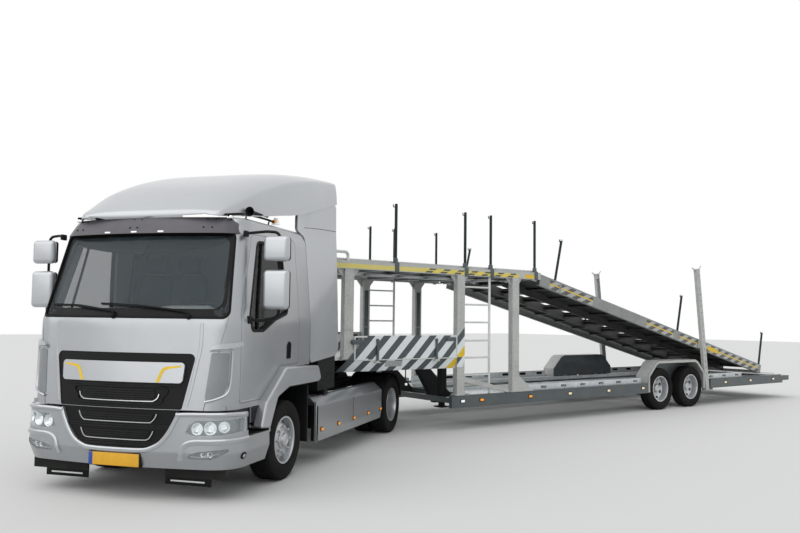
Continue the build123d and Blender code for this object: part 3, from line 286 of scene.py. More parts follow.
recipes = {
    # sprayed metallic base under clear lacquer: soft silver with a sharp thin gloss
    "silverLacquer": recipe("#a5a8ab", "#9fa2a5", 900, 0.33, metallic=0.8, roughSpread=0.02, coat=0.5,
        coatRoughness=0.08, bump=0.03, bumpGrain=3, bumpDepth=0.2, grime=0.16, grimeColor="#6e6c68"),
    # the same silver on moulded plastic trim, a shade brighter
    "silverMoulding": recipe("#b4b7ba", "#aeb1b4", 600, 0.3, metallic=0.7, roughSpread=0.01, roughGrain=400,
        coat=0.5),
    # the same lacquer painted darker where it lies in the corner recess: painted shade, with more grime
    # patches on it
    "cornerShade": recipe("#84888a", "#7b7f81", 300, 0.42, metallic=0.5, coat=0.3, grime=0.3),
    # glass-fibre hood, sprayed: slightly wavy and paler
    "silverHood": recipe("#b6b9bc", "#b0b3b6", 900, 0.36, metallic=0.7, roughSpread=0.02, coat=0.5, bump=0.05,
        bumpGrain=220, bumpDepth=1.5, grime=0.1),
    # moulded polypropylene, fine leather grain
    "blackPolypropylene": recipe("#0f1011", "#151617", 200, 0.6, ior=1.45, specular=0.2, bump=0.25,
        bumpGrain=4, bumpDepth=0.3, grime=0.15, grimeColor="#4c4942"),
    # gloss black moulding on the front
    "blackGlossAbs": recipe("#0a0b0c", "#0e0f10", 300, 0.38, ior=1.42, specular=0.22, grime=0.06),
    # smoked acrylic visor, seen as a brownish grey sheet with dust on it
    "smokedAcrylic": recipe("#565358", "#49464a", 420, 0.42, ior=1.45, roughSpread=0.03, grime=0.12,
        grimeColor="#77746f"),
    # moulded dash and cab lining
    "greyAbs": recipe("#bcc2be", "#b2b8b4", 200, 0.6, ior=1.53, bump=0.2, bumpGrain=5, bumpDepth=0.3),
    "liningGrey": recipe("#9ca4a5", "#939b9c", 300, 0.75),
    # woven seat cloth with 2.5 mm threads, drawn 6 mm coarse so that it shows
    "seatWeave": recipe("#33373c", "#3d4147", 6, 0.9, bump=0.5, bumpGrain=6, bumpDepth=1.2),
    # chassis enamel, rolled on black with road dust
    "chassisEnamel": recipe("#121416", "#191b1d", 150, 0.55, specular=0.15, bump=0.12, bumpGrain=12,
        bumpDepth=0.4, grime=0.25, grimeColor="#4a463f"),
    "castIron": recipe("#18191a", "#21201e", 80, 0.7, specular=0.2, bump=0.4, bumpGrain=7, bumpDepth=0.8,
        grime=0.5, grimeColor="#544c40"),
    # hot-dip galvanised sheet, 14 mm spangle, dulled white-grey outdoors
    "galvanisedSheet": recipe("#afb3b2", "#9ca1a1", 260, 0.5, metallic=0.3, spangle=14, grime=0.25,
        grimeColor="#77746b"),
    "galvanisedPost": recipe("#bfc0bc", "#b2b4b1", 320, 0.5, metallic=0.2, spangle=18, grime=0.16,
        grimeColor="#85827a"),
    # pale worn tracks with a painted sheen: the base colour lightened to near white for their shine under the
    # sky
    "wornTrackPaintedSheen": recipe("#e0e4e5", "#c9cecf", 180, 0.32, metallic=0.35, spangle=16, grime=0.12,
        grimeColor="#9a978f"),
    # slate grey enamel on the lower rail
    "slateEnamel": recipe("#4a5559", "#424c50", 240, 0.4, metallic=0.1, coat=0.2, grime=0.35,
        grimeColor="#6b675e"),
    # deck underside painted dark: painted shade, the same dark on the deck's top as underneath
    "deckPaintedShade": recipe("#494849", "#3d3d3f", 220, 0.6, metallic=0.2, bump=0.15, bumpGrain=20,
        bumpDepth=0.5, grime=0.4),
    # powder-coated dark green stake tubes
    "greenPowderCoat": recipe("#1b2725", "#23302e", 90, 0.5, specular=0.2, bump=0.15, bumpGrain=3,
        bumpDepth=0.2),
    "whiteTube": recipe("#dcdedb", "#cfd1cd", 120, 0.35, coat=0.3, grime=0.25),
    "tyreRubber": recipe("#131314", "#1a1a1b", 120, 0.8, ior=1.45, specular=0.12, bump=0.3, bumpGrain=4,
        bumpDepth=0.4, grime=0.3, grimeColor="#3c3934"),
    "wheelEnamel": recipe("#c2c4c6", "#babcbe", 400, 0.32, metallic=0.7, roughSpread=0.02, coat=0.3),
    "brightSteel": recipe("#c9cbcc", None, 120, 0.16, metallic=1.0),
    "lampReflector": recipe("#e4e7e8", None, 120, 0.09, metallic=1.0, roughSpread=0.03),
    "lampHousing": recipe("#6d7274", None, 120, 0.25, metallic=0.7),
    "lampWhite": recipe("#e9eef0", None, 120, 0.2, glow=0.35, coat=0.5),
    "amberLens": recipe("#f09a2c", "#e0851c", 8, 0.18, ior=1.49, coat=0.5, glow=0.35),
    "redLens": recipe("#b3201c", "#9c1a17", 8, 0.18, ior=1.49, coat=0.5),
    "fadedYellow": recipe("#e0cf6e", "#d3c678", 90, 0.5, grime=0.12),
    "deckBeam": recipe("#9a9c9a", "#8c8f8e", 240, 0.55, metallic=0.2, spangle=16, grime=0.25,
        grimeColor="#6d6a63"),
    "paleAmber": recipe("#f3e2bd", "#eed9a8", 8, 0.2, ior=1.49, coat=0.5, glow=0.25),
    "yellowFilm": recipe("#e8c21c", "#dfb818", 60, 0.4, grime=0.2),
    "plateYellow": recipe("#e0a91c", "#d9a018", 60, 0.35, grime=0.1),
    "plateBlue": recipe("#20459a", None, 120, 0.35),
    "rubberSeal": recipe("#0d0e0f", "#141516", 60, 0.65, specular=0.15),
}
looks = {name: plainMaterial(name, recipe) for name, recipe in recipes.items()}
looks["screenGlass"] = clearMaterial("screenGlass", "#4e5a5f", 0.02, 0.25)
# door glass tinted near black: a painted dark reflection in the side windows
looks["doorGlass"] = clearMaterial("doorGlass", "#0a0d0e", 0.02, 0.42)
looks["lampGlass"] = clearMaterial("lampGlass", "#dfe6e8", 0.03, 0.16)
looks["panelStripes"] = stripeMaterial("panelStripes", {"light": "#e4e9ea", "dark": "#3b4448", "rise": 1.0,
    "period": 271.4, "share": 0.48, "shift": 0.291, "roughness": 0.4, "wear": 0.1, "grime": 0.12})
looks["hazardTape"] = stripeMaterial("hazardTape", {"light": "#e6cf4e", "dark": "#3b392c", "rise": 1.6,
    "period": 273.5, "share": 0.45, "shift": 0.7, "roughness": 0.45, "wear": 0.2, "wornTo": "#a9a68c",
    "grime": 0.15})
looks["slopeTape"] = stripeMaterial("slopeTape", {"light": "#b9bbb6", "dark": "#3e4040", "rise": 1.6,
    "period": 273.5, "share": 0.5, "shift": 0.2, "roughness": 0.5, "wear": 0.35, "grime": 0.2,
    "unturn": [(kingpin[0] + stands["hinge"][0], 0, stands["hinge"][2]),
    (0, math.radians(-stands["slope"]), 0)]})
print("materials made:", len(looks))


# Mesh tools. Every piece is computed as arrays of points in its own drawing place, and is then
# carried to where it stands by a matrix, so that its object stays at the origin.
def rawMesh(name, points, faces):
    mesh = bpy.data.meshes.new(name)
    mesh.from_pydata(np.asarray(points, dtype=float).reshape(-1, 3), [], [tuple(f) for f in faces])
    obj = bpy.data.objects.new(name, mesh)
    scene.collection.objects.link(obj)
    return obj


def tidyMesh(obj, angle=35, weld=0.00002):
    # weld doubles, turn faces outwards, shade smooth but for edges sharper than the angle
    work = bmesh.new()
    work.from_mesh(obj.data)
    bmesh.ops.remove_doubles(work, verts=work.verts, dist=weld)
    bmesh.ops.dissolve_degenerate(work, edges=work.edges, dist=weld)
    bmesh.ops.recalc_face_normals(work, faces=work.faces)
    work.to_mesh(obj.data)
    work.free()
    obj.data.shade_smooth()
    obj.data.set_sharp_from_angle(angle=math.radians(angle))


def finishPiece(obj, look, body="trailer", place=trailerPlace, standsFor=(), angle=35, bevel=0, slot=None):
    tidyMesh(obj, angle)
    if bevel:
        soft = obj.modifiers.new("edges", "BEVEL")
        soft.width = bevel
        soft.segments = 2
        soft.limit_method = "ANGLE"
        soft.angle_limit = math.radians(40)
        soft.harden_normals = True
    obj.data.transform(place)
    obj.data.materials.clear()
    obj.data.materials.append(looks[look])
    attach(obj, body)
    if standsFor:
        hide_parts(*standsFor)


def bothSides(obj, look, body, place, standsFor, *rest):
    # a left piece and its mirror image; the mirror image rides on and stands for what is on the right
    other = bpy.data.objects.new(obj.name.replace("Left", "Right"), obj.data.copy())
    scene.collection.objects.link(other)
    other.data.transform(mirror)
    other.data.flip_normals()
    for piece, side in ((other, "right"), (obj, "left")):
        finishPiece(piece, look, body.replace("left", side), place,
            [n.replace("left", side) for n in standsFor], *rest)


def onTractor(obj, look, standsFor=(), angle=35, bevel=0, slot=None):
    finishPiece(obj, look, "tractor", tractorPlace, standsFor, angle, bevel, slot)


def tractorPair(obj, look, standsFor=(), angle=35, bevel=0, slot=None):
    bothSides(obj, look, "tractor", tractorPlace, standsFor, angle, bevel, slot)


def doorPair(obj, look, standsFor=(), angle=35, bevel=0, slot=None):
    bothSides(obj, look, "door_left", tractorPlace, standsFor, angle, bevel, slot)


def trailerPair(obj, look, standsFor=()):
    bothSides(obj, look, "trailer", trailerPlace, standsFor)


def deckPair(obj, look, standsFor=()):
    bothSides(obj, look, "tilting_deck", deckPlace, standsFor)


def gridFaces(rows, columns, closeRows=False, closeColumns=False, first=0):
    # quads between neighbouring points of a grid whose rows are stored one after another
    r = np.arange(rows if closeRows else rows - 1)[:, None]
    c = np.arange(columns if closeColumns else columns - 1)[None, :]
    r2, c2 = (r + 1) % rows, (c + 1) % columns
    quads = np.stack([r * columns + c, r * columns + c2, r2 * columns + c2, r2 * columns + c], axis=-1)
    return (quads.reshape(-1, 4) + first).tolist()


def loftMesh(name, rings, caps=True):
    # rings of points, one after another, joined by quads; the first and last ring are closed over
    rings = np.asarray(rings, dtype=float)
    rows, columns = rings.shape[:2]
    faces = gridFaces(rows, columns, closeColumns=True)
    if caps:
        faces.append(list(range(columns - 1, -1, -1)))
        faces.append(list(range((rows - 1) * columns, rows * columns)))
    return rawMesh(name, rings.reshape(-1, 3), faces)


def arcAt(corner, u, v, reach, half, steps):
    # the arc that leaves both edges of a corner at the given reach: slerp round the arc's middle
    middle = corner + (u + v) / np.linalg.norm(u + v) * (reach * math.tan(half)) / math.sin(half)
    start, end = corner + u * reach - middle, corner + v * reach - middle
    sweep = math.pi - 2 * half
    t = np.linspace(0, 1, steps + 1)[:, None]
    return middle + (np.sin((1 - t) * sweep) * start + np.sin(t * sweep) * end) / math.sin(sweep)


def roundedOutline(points, radius, steps=5):
    # each corner becomes an arc that touches both of its edges
    out = []
    count = len(points)
    radii = radius if isinstance(radius, (list, tuple)) else [radius] * count
    for i in range(count):
        a, b, c = (np.array(points[(i + k) % count], dtype=float) for k in (-1, 0, 1))
        u, v = a - b, c - b
        lu, lv = np.linalg.norm(u), np.linalg.norm(v)
        u, v = u / lu, v / lv
        half = math.acos(max(-1.0, min(1.0, float(u @ v)))) / 2
        reach = min(radii[i] / math.tan(half), 0.48 * lu, 0.48 * lv) if radii[i] else 0
        out.append(b[None] if reach < 1e-5 else arcAt(b, u, v, reach, half, steps))
    return np.concatenate(out)


def rect(a, b, low, high):
    return [(a, low), (b, low), (b, high), (a, high)]


def slab(foot, top, low, high):
    # a bar's section by its half widths and its two heights
    return [(-foot, low), (foot, low), (top, high), (-top, high)]


def bothWays(points):
    # a line from its left end to its middle, and on to the right end as its mirror image
    return points + [(-y, z) for y, z in points[::-1] if y]


def prism(name, outline, axis, low, high, radius=0, steps=5):
    # an outline carried straight along one axis; outline is (x, z), (y, z) or (x, y)
    flat = roundedOutline(outline, radius, steps) if radius else np.asarray(outline, dtype=float)
    spots = {"y": (0, 2, 1), "x": (1, 2, 0), "z": (0, 1, 2)}[axis]
    rings = np.zeros((2, len(flat), 3))
    rings[:, :, spots[0]], rings[:, :, spots[1]] = flat[:, 0], flat[:, 1]
    rings[0, :, spots[2]], rings[1, :, spots[2]] = low, high
    obj = loftMesh(name, rings)
    tidyMesh(obj)
    return obj


def combine(obj, tool, kind, keepTool=False):
    # boolean of a closed piece with a closed tool, applied at once
    step = obj.modifiers.new("step", "BOOLEAN")
    step.operation = kind
    step.object = tool
    step.solver = "EXACT"
    made = bpy.data.meshes.new_from_object(obj.evaluated_get(bpy.context.evaluated_depsgraph_get()))
    obj.modifiers.clear()
    old = obj.data
    obj.data = made
    bpy.data.meshes.remove(old)
    if not keepTool:
        bpy.data.objects.remove(tool)
    return obj


def smoothPath(points, count=60, closed=False):
    # a Catmull-Rom curve through the points, sampled evenly in its own parameter
    p = np.asarray(points, dtype=float)
    p = np.vstack([p[-1], p, p[:2]]) if closed else np.vstack([2 * p[0] - p[1], p, 2 * p[-1] - p[-2]])
    spans = len(p) - 3
    t = np.linspace(0, spans, count, endpoint=not closed)
    i = np.minimum(t.astype(int), spans - 1)
    f = (t - i)[:, None]
    a, b, c, d = p[i], p[i + 1], p[i + 2], p[i + 3]
    return 0.5 * (2 * b + (c - a) * f + (2 * a - 5 * b + 4 * c - d) * f ** 2
        + (3 * b - a - 3 * c + d) * f ** 3)


def bentPath(points, radius, steps=6):
    # straight runs with a round bend at each inner corner
    p = [np.array(q, dtype=float) for q in points]
    out = [p[0][None]]
    for a, b, c in zip(p, p[1:], p[2:]):
        u, v = (a - b) / np.linalg.norm(a - b), (c - b) / np.linalg.norm(c - b)
        half = math.acos(max(-1.0, min(1.0, float(u @ v)))) / 2
        reach = min(radius / math.tan(half), 0.45 * np.linalg.norm(a - b), 0.45 * np.linalg.norm(c - b))
        out.append(arcAt(b, u, v, reach, half, steps))
    out.append(p[-1][None])
    return np.concatenate(out)


def tubeRings(path, section, up=(0, 0, 1), closed=False):
    # a flat section (across, up) carried along a path, kept upright against the up direction
    path = np.asarray(path, dtype=float)
    if closed:
        ahead = np.roll(path, -1, 0) - np.roll(path, 1, 0)
    else:
        ahead = np.gradient(path, axis=0)
    ahead /= np.linalg.norm(ahead, axis=1)[:, None]
    side = np.cross(np.asarray(up, dtype=float)[None], ahead)
    weak = np.linalg.norm(side, axis=1) < 0.05
    side[weak] = np.cross(np.array([[0.0, 1.0, 0.0]]), ahead[weak])
    # neighbouring sides never flip over
    for i in range(1, len(side)):
        if side[i] @ side[i - 1] < 0:
            side[i] = -side[i]
    side /= np.linalg.norm(side, axis=1)[:, None]
    top = np.cross(ahead, side)
    section = np.asarray(section, dtype=float)
    return path[:, None] + side[:, None] * section[None, :, :1] + top[:, None] * section[None, :, 1:]


def circle(radius, count=16, squash=1.0):
    a = np.linspace(0, 2 * math.pi, count, endpoint=False)
    return np.stack([radius * np.cos(a), radius * squash * np.sin(a)], axis=1)


def tube(name, path, radius, count=14, up=(0, 0, 1), squash=1.0, closed=False):
    rings = tubeRings(path, circle(radius, count, squash), up, closed)
    if closed:
        return rawMesh(name, rings.reshape(-1, 3), gridFaces(len(rings), count, True, True))
    return loftMesh(name, rings)


def roundBox(name, low, high, radius, steps=4):
    # a sphere's surface pulled apart at its middle planes into a box with round edges
    low, high = np.array(low, dtype=float), np.array(high, dtype=float)
    middle, inner = (low + high) / 2, (high - low) / 2 - radius
    quarter = np.linspace(0, math.pi / 2, steps + 1)
    lon = np.concatenate([quarter + k * math.pi / 2 for k in range(4)])
    lonX = np.repeat([1, -1, -1, 1], steps + 1)
    lonY = np.repeat([1, 1, -1, -1], steps + 1)
    lat = np.concatenate([quarter - math.pi / 2, quarter])
    latZ = np.repeat([-1, 1], steps + 1)
    x = lonX[None] * inner[0] + radius * np.cos(lat)[:, None] * np.cos(lon)[None]
    y = lonY[None] * inner[1] + radius * np.cos(lat)[:, None] * np.sin(lon)[None]
    z = (latZ * inner[2] + radius * np.sin(lat))[:, None] + 0 * x
    return loftMesh(name, np.stack([x, y, z], axis=-1) + middle)


def turned(name, profile, count=96, axis="y"):
    # a closed profile of (along the axis, radius) turned about the axis through the origin
    profile = np.asarray(profile, dtype=float)
    a = np.linspace(0, 2 * math.pi, count, endpoint=False)
    along = np.repeat(profile[None, :, 0], count, 0)
    ring = profile[None, :, 1]
    if axis == "y":
        points = np.stack([ring * np.sin(a)[:, None], along, ring * np.cos(a)[:, None]], axis=-1)
    elif axis == "x":
        points = np.stack([along, ring * np.cos(a)[:, None], ring * np.sin(a)[:, None]], axis=-1)
    else:
        points = np.stack([ring * np.cos(a)[:, None], ring * np.sin(a)[:, None], along], axis=-1)
    return rawMesh(name, points.reshape(-1, 3), gridFaces(count, len(profile), True, True))


def joined(name, objects):
    # several meshes become one piece
    work = bmesh.new()
    for obj in objects:
        work.from_mesh(obj.data)
        bpy.data.objects.remove(obj)
    mesh = bpy.data.meshes.new(name)
    work.to_mesh(mesh)
    work.free()
    new = bpy.data.objects.new(name, mesh)
    scene.collection.objects.link(new)
    return new


def moved(obj, x=0, y=0, z=0, turn=None):
    matrix = Matrix.Translation((x, y, z))
    if turn:
        matrix = matrix @ Matrix.Rotation(math.radians(turn[1]), 4, turn[0])
    obj.data.transform(matrix)
    return obj


# Skins: a table of heights, each with half width, front at the middle, front at the corner,
# the corner's half width, and where the flat side starts. Both the cab and the bumper use one.
skins = {
    "cab": {"rear": -0.58, "rows": ((0.8, 1.05, 1.285, 1.215, 0.78, 0.96),
        (1.57, 1.062, 1.228, 1.135, 0.8, 0.93), (2.42, 0.985, 0.96, 0.868, 0.76, 0.69),
        (2.55, 0.93, 0.85, 0.77, 0.7, 0.6))},
    "bumper": {"rear": 0.5, "rows": ((0.29, 1.075, 1.255, 1.19, 0.8, 0.93),
        (0.43, 1.12, 1.295, 1.235, 0.82, 0.95), (0.78, 1.11, 1.29, 1.225, 0.8, 0.95))},
}
# how many points of an outline lie on a flat side, on a corner arc and on half the front, and in all
flatCount, cornerCount, frontCount = 11, 21, 16
halfCount = flatCount + cornerCount + frontCount
wholeCount = 2 * halfCount - 1
levelCount = 60


def skinRow(skin, z, inset=0.0):
    # one height's outline from the rear left corner round the front: flat side, corner arc, front arc
    rows = np.array(skins[skin]["rows"])
    w, f, c, cy, s = (np.interp(z, rows[:, 0], rows[:, k]) for k in range(1, 6))
    w, f, c, cy = w - inset, f - inset, c - inset, cy - 0.4 * inset
    rear = skins[skin]["rear"] + (inset if inset > 0.02 else 0)
    side = np.stack([np.linspace(rear, s, flatCount + 1)[:-1], np.full(flatCount, w)], axis=1)
    r = ((c - s) ** 2 + (w - cy) ** 2) / (2 * (w - cy))
    stop = math.atan2(cy - (w - r), c - s)
    a = np.linspace(math.pi / 2, stop, cornerCount + 1)
    corner = np.stack([s + r * np.cos(a), w - r + r * np.sin(a)], axis=1)[:-1]
    rise = f - c
    big = (cy ** 2 + rise ** 2) / (2 * rise)
    b = np.linspace(math.asin(cy / big), 0, frontCount)
    front = np.stack([f - big + big * np.cos(b), big * np.sin(b)], axis=1)
    half = np.concatenate([side, corner, front])
    # the joint of corner and front is eased by averaging neighbours
    first, last = flatCount + cornerCount - 8, flatCount + cornerCount + 8
    for _ in range(10):
        eased = half.copy()
        eased[first:last] = (0.25 * half[first - 1:last - 1] + 0.5 * half[first:last]
            + 0.25 * half[first + 1:last + 1])
        half = eased
    return np.concatenate([half, half[:-1][::-1] * [1, -1]])


def skinRows(skin, heights, inset=0.0):
    return np.array([np.column_stack([skinRow(skin, z, inset), np.full(wholeCount, z)]) for z in heights])


def skinSolid(name, skin, inset, low, high, crown=0.0):
    # the closed form under a skin; the top edge rolls over by crown
    heights = list(np.linspace(low, high - crown, 44))
    rings = list(skinRows(skin, heights, inset))
    if crown:
        for a in np.linspace(0, math.pi / 2, 6)[1:]:
            ring = skinRow(skin, high - crown, inset + crown * (1 - math.cos(a)))
            rings.append(np.column_stack([ring, np.full(wholeCount, high - crown + crown * math.sin(a))]))
    obj = loftMesh(name, rings)
    tidyMesh(obj)
    return obj


def skinTable(skin):
    # a skin's outline at many levels, and the distance along it from its middle line for each column
    if "table" not in skins[skin]:
        rows = skins[skin]["rows"]
        levels = np.linspace(rows[0][0], rows[-1][0], levelCount)
        middle = skinRow(skin, rows[1][0])
        run = np.concatenate([[0], np.cumsum(np.linalg.norm(np.diff(middle, axis=0), axis=1))])
        skins[skin]["table"] = levels, np.array([skinRow(skin, z) for z in levels]), run[halfCount - 1] - run
    return skins[skin]["table"]


def skinPoints(skin, u, z, out=0.0):
    # points of a skin by distance from its middle line and height, pushed out along its normal:
    # two-way blend of the table, and the normal is the cross product of its two slopes
    u, z, out = np.broadcast_arrays(*(np.asarray(v, dtype=float) for v in (u, z, out)))
    levels, table, girth = skinTable(skin)

    def at(a, zz):
        k = (zz - levels[0]) / (levels[1] - levels[0])
        i = np.clip(np.floor(k).astype(int), 0, levelCount - 2)
        j = np.clip(np.floor(a).astype(int), 0, wholeCount - 2)
        f, g = (k - i)[..., None], (a - j)[..., None]
        plan = ((table[i, j] * (1 - g) + table[i, j + 1] * g) * (1 - f)
            + (table[i + 1, j] * (1 - g) + table[i + 1, j + 1] * g) * f)
        return np.concatenate([plan, zz[..., None]], axis=-1)

    a = np.interp(u, girth[::-1], np.arange(wholeCount)[::-1])
    normal = np.cross(at(a, z + 0.01) - at(a, z - 0.01), at(a + 0.7, z) - at(a - 0.7, z))
    normal /= np.linalg.norm(normal, axis=-1)[..., None]
    return at(a, z) + normal * out[..., None]


def fromFront(skin, outline):
    # (y, z) seen from the front, turned to (distance along the skin, z)
    _, _, girth = skinTable(skin)
    part = slice(flatCount, halfCount)
    out = []
    for y, z in outline:
        row = skinRow(skin, z)[part]
        out.append((math.copysign(float(np.interp(abs(y), row[::-1, 1], girth[part][::-1])), y), z))
    return out


def fromSide(skin, outline):
    # (x, z) seen from the left, turned to (distance along the skin, z)
    _, _, girth = skinTable(skin)
    return [(float(np.interp(x, skinRow(skin, z)[:halfCount, 0], girth[:halfCount])), z) for x, z in outline]


def skinMoulding(name, skin, path, section, count=70, closed=False):
    # a bar that follows a skin: path of (along, z), section of (across the path, out from the skin)
    line = smoothPath(path, count, closed)
    ahead = np.roll(line, -1, 0) - np.roll(line, 1, 0) if closed else np.gradient(line, axis=0)
    ahead /= np.linalg.norm(ahead, axis=1)[:, None]
    across = np.stack([-ahead[:, 1], ahead[:, 0]], axis=1)
    section = np.asarray(section, dtype=float)
    flat = line[:, None] + across[:, None] * section[None, :, :1]
    points = skinPoints(skin, flat[..., 0], flat[..., 1], np.repeat(section[None, :, 1], len(line), 0))
    if closed:
        return rawMesh(name, points.reshape(-1, 3), gridFaces(len(line), len(section), True, True))
    return loftMesh(name, points)


def cellPlate(name, outline, cells, place):
    # a flat outline of (u, v) cut into cells; place(u, v, 0 or 1) carries it to the plate's two sides
    outline = np.asarray(outline, dtype=float)
    base = bmesh.new()
    base.faces.new([base.verts.new((u, v, 0)) for u, v in outline])
    for axis in (0, 1):
        for cut in np.arange(outline[:, axis].min() + cells, outline[:, axis].max(), cells):
            spot, direction = [0, 0, 0], [0, 0, 0]
            spot[axis], direction[axis] = cut, 1
            bmesh.ops.bisect_plane(base, geom=base.verts[:] + base.edges[:] + base.faces[:], plane_co=spot,
                plane_no=direction)
    base.verts.index_update()
    flat = np.array([v.co[:2] for v in base.verts])
    faces = [[v.index for v in f.verts] for f in base.faces]
    rims = [[v.index for v in e.verts] for e in base.edges if len(e.link_faces) == 1]
    base.free()
    n = len(flat)
    points = np.concatenate([place(flat[:, 0], flat[:, 1], k) for k in (0, 1)])
    return rawMesh(name, points, faces + [[i + n for i in f][::-1] for f in faces]
        + [[a, b, b + n, a + n] for a, b in rims])


def skinPlate(name, skin, outline, low, high, radius=0.0, cells=0.03):
    # a plate on a skin inside an outline of (along, z), between two distances from the skin
    flat = roundedOutline(outline, radius, 6) if radius else outline
    return cellPlate(name, flat, cells, lambda u, v, k: skinPoints(skin, u, v, (low, high)[k]))


def skinRing(name, skin, inner, outer, innerRadius, outerRadius, low, high):
    # a band between two outlines of (along, z) with as many corners each, and its thickness
    a = roundedOutline(inner, innerRadius, 8)
    b = roundedOutline(outer, outerRadius, 8)
    parts = [max(1, int(round(float(np.linalg.norm(q - p)) / 0.03))) for p, q in zip(b, np.roll(b, -1, 0))]

    def even(line):
        return np.concatenate([p + (q - p) * (np.arange(n) / n)[:, None]
            for p, q, n in zip(line, np.roll(line, -1, 0), parts)])

    a, b = even(a), even(b)
    rings = np.stack([np.stack([p[:, 0], p[:, 1], np.full(len(p), out)], axis=1)
        for p, out in ((a, low), (a, high), (b, high), (b, low))], axis=1)
    points = skinPoints(skin, rings[..., 0], rings[..., 1], rings[..., 2])
    return rawMesh(name, points.reshape(-1, 3), gridFaces(len(a), 4, True, True))


def slatRow(name, skin, section, spans):
    # straight bars across a skin, each with its half width and its height
    slats = [skinMoulding("slat", skin, fromFront(skin, [(k * w, z) for k in (-1, -0.5, 0, 0.5, 1)]), section,
        50) for w, z in spans]
    onTractor(joined(name, slats), "blackPolypropylene")


def seated(obj, skin, u, z, back=0.0):
    # turned to face out along a skin's normal, and set on the skin or sunk into it
    ahead = Vector(skinPoints(skin, u, z, 0.1) - skinPoints(skin, u, z, 0))
    spot = Matrix.Translation(Vector(skinPoints(skin, u, z, -back)))
    obj.data.transform(spot @ ahead.to_track_quat("X", "Z").to_matrix().to_4x4())
    return obj


def grown(outline, by):
    # each corner moved outwards along the halving line of its two edges
    p = np.asarray(outline, dtype=float)
    area = np.sum(p[:, 0] * np.roll(p[:, 1], -1) - p[:, 1] * np.roll(p[:, 0], -1))
    edge = np.roll(p, -1, 0) - p
    edge /= np.linalg.norm(edge, axis=1)[:, None]
    outward = np.stack([edge[:, 1], -edge[:, 0]], axis=1) * np.sign(area)
    before = np.roll(outward, 1, 0)
    both = outward + before
    return p + both * (by / np.maximum(0.3, 0.5 * np.sum(both * both, axis=1)))[:, None]


print("tools ready")


# Cab: one skin is cut into shell, two doors and glass, so that gaps line up
cab = {
    "low": 0.8, "high": 2.55, "wall": 0.045, "crown": 0.07, "gap": 0.0035,
    "door": [(0.985, 0.85), (0.985, 1.65), (0.7, 2.395), (-0.285, 2.425), (-0.285, 1.142), (0.157, 1.142),
        (0.576, 0.85)],
    "doorCorners": [0.03, 0.2, 0.07, 0.06, 0.04, 0.05, 0.03],
    "window": [(0.838, 1.64), (0.6, 2.335), (0.06, 2.36), (-0.015, 1.66), (0.3, 1.59), (0.56, 1.485),
        (0.79, 1.485)],
    "windowCorners": [0.12, 0.07, 0.06, 0.06, 0.2, 0.12, 0.06],
    "screen": slab(0.985, 0.905, 1.602, 2.4),
    "clearScreen": slab(0.915, 0.862, 1.69, 2.365),
    "arch": [(-0.9, 1.12), (0.147, 1.12), (0.526, 0.83), (0.526, 0.6), (-0.9, 0.6)],
    "field": slab(0.725, 0.625, 1.29, 0.803),
    "seam": [(0.976, 1.61), (0.935, 1.38), (0.87, 1.05), (0.82, 0.79)],
}


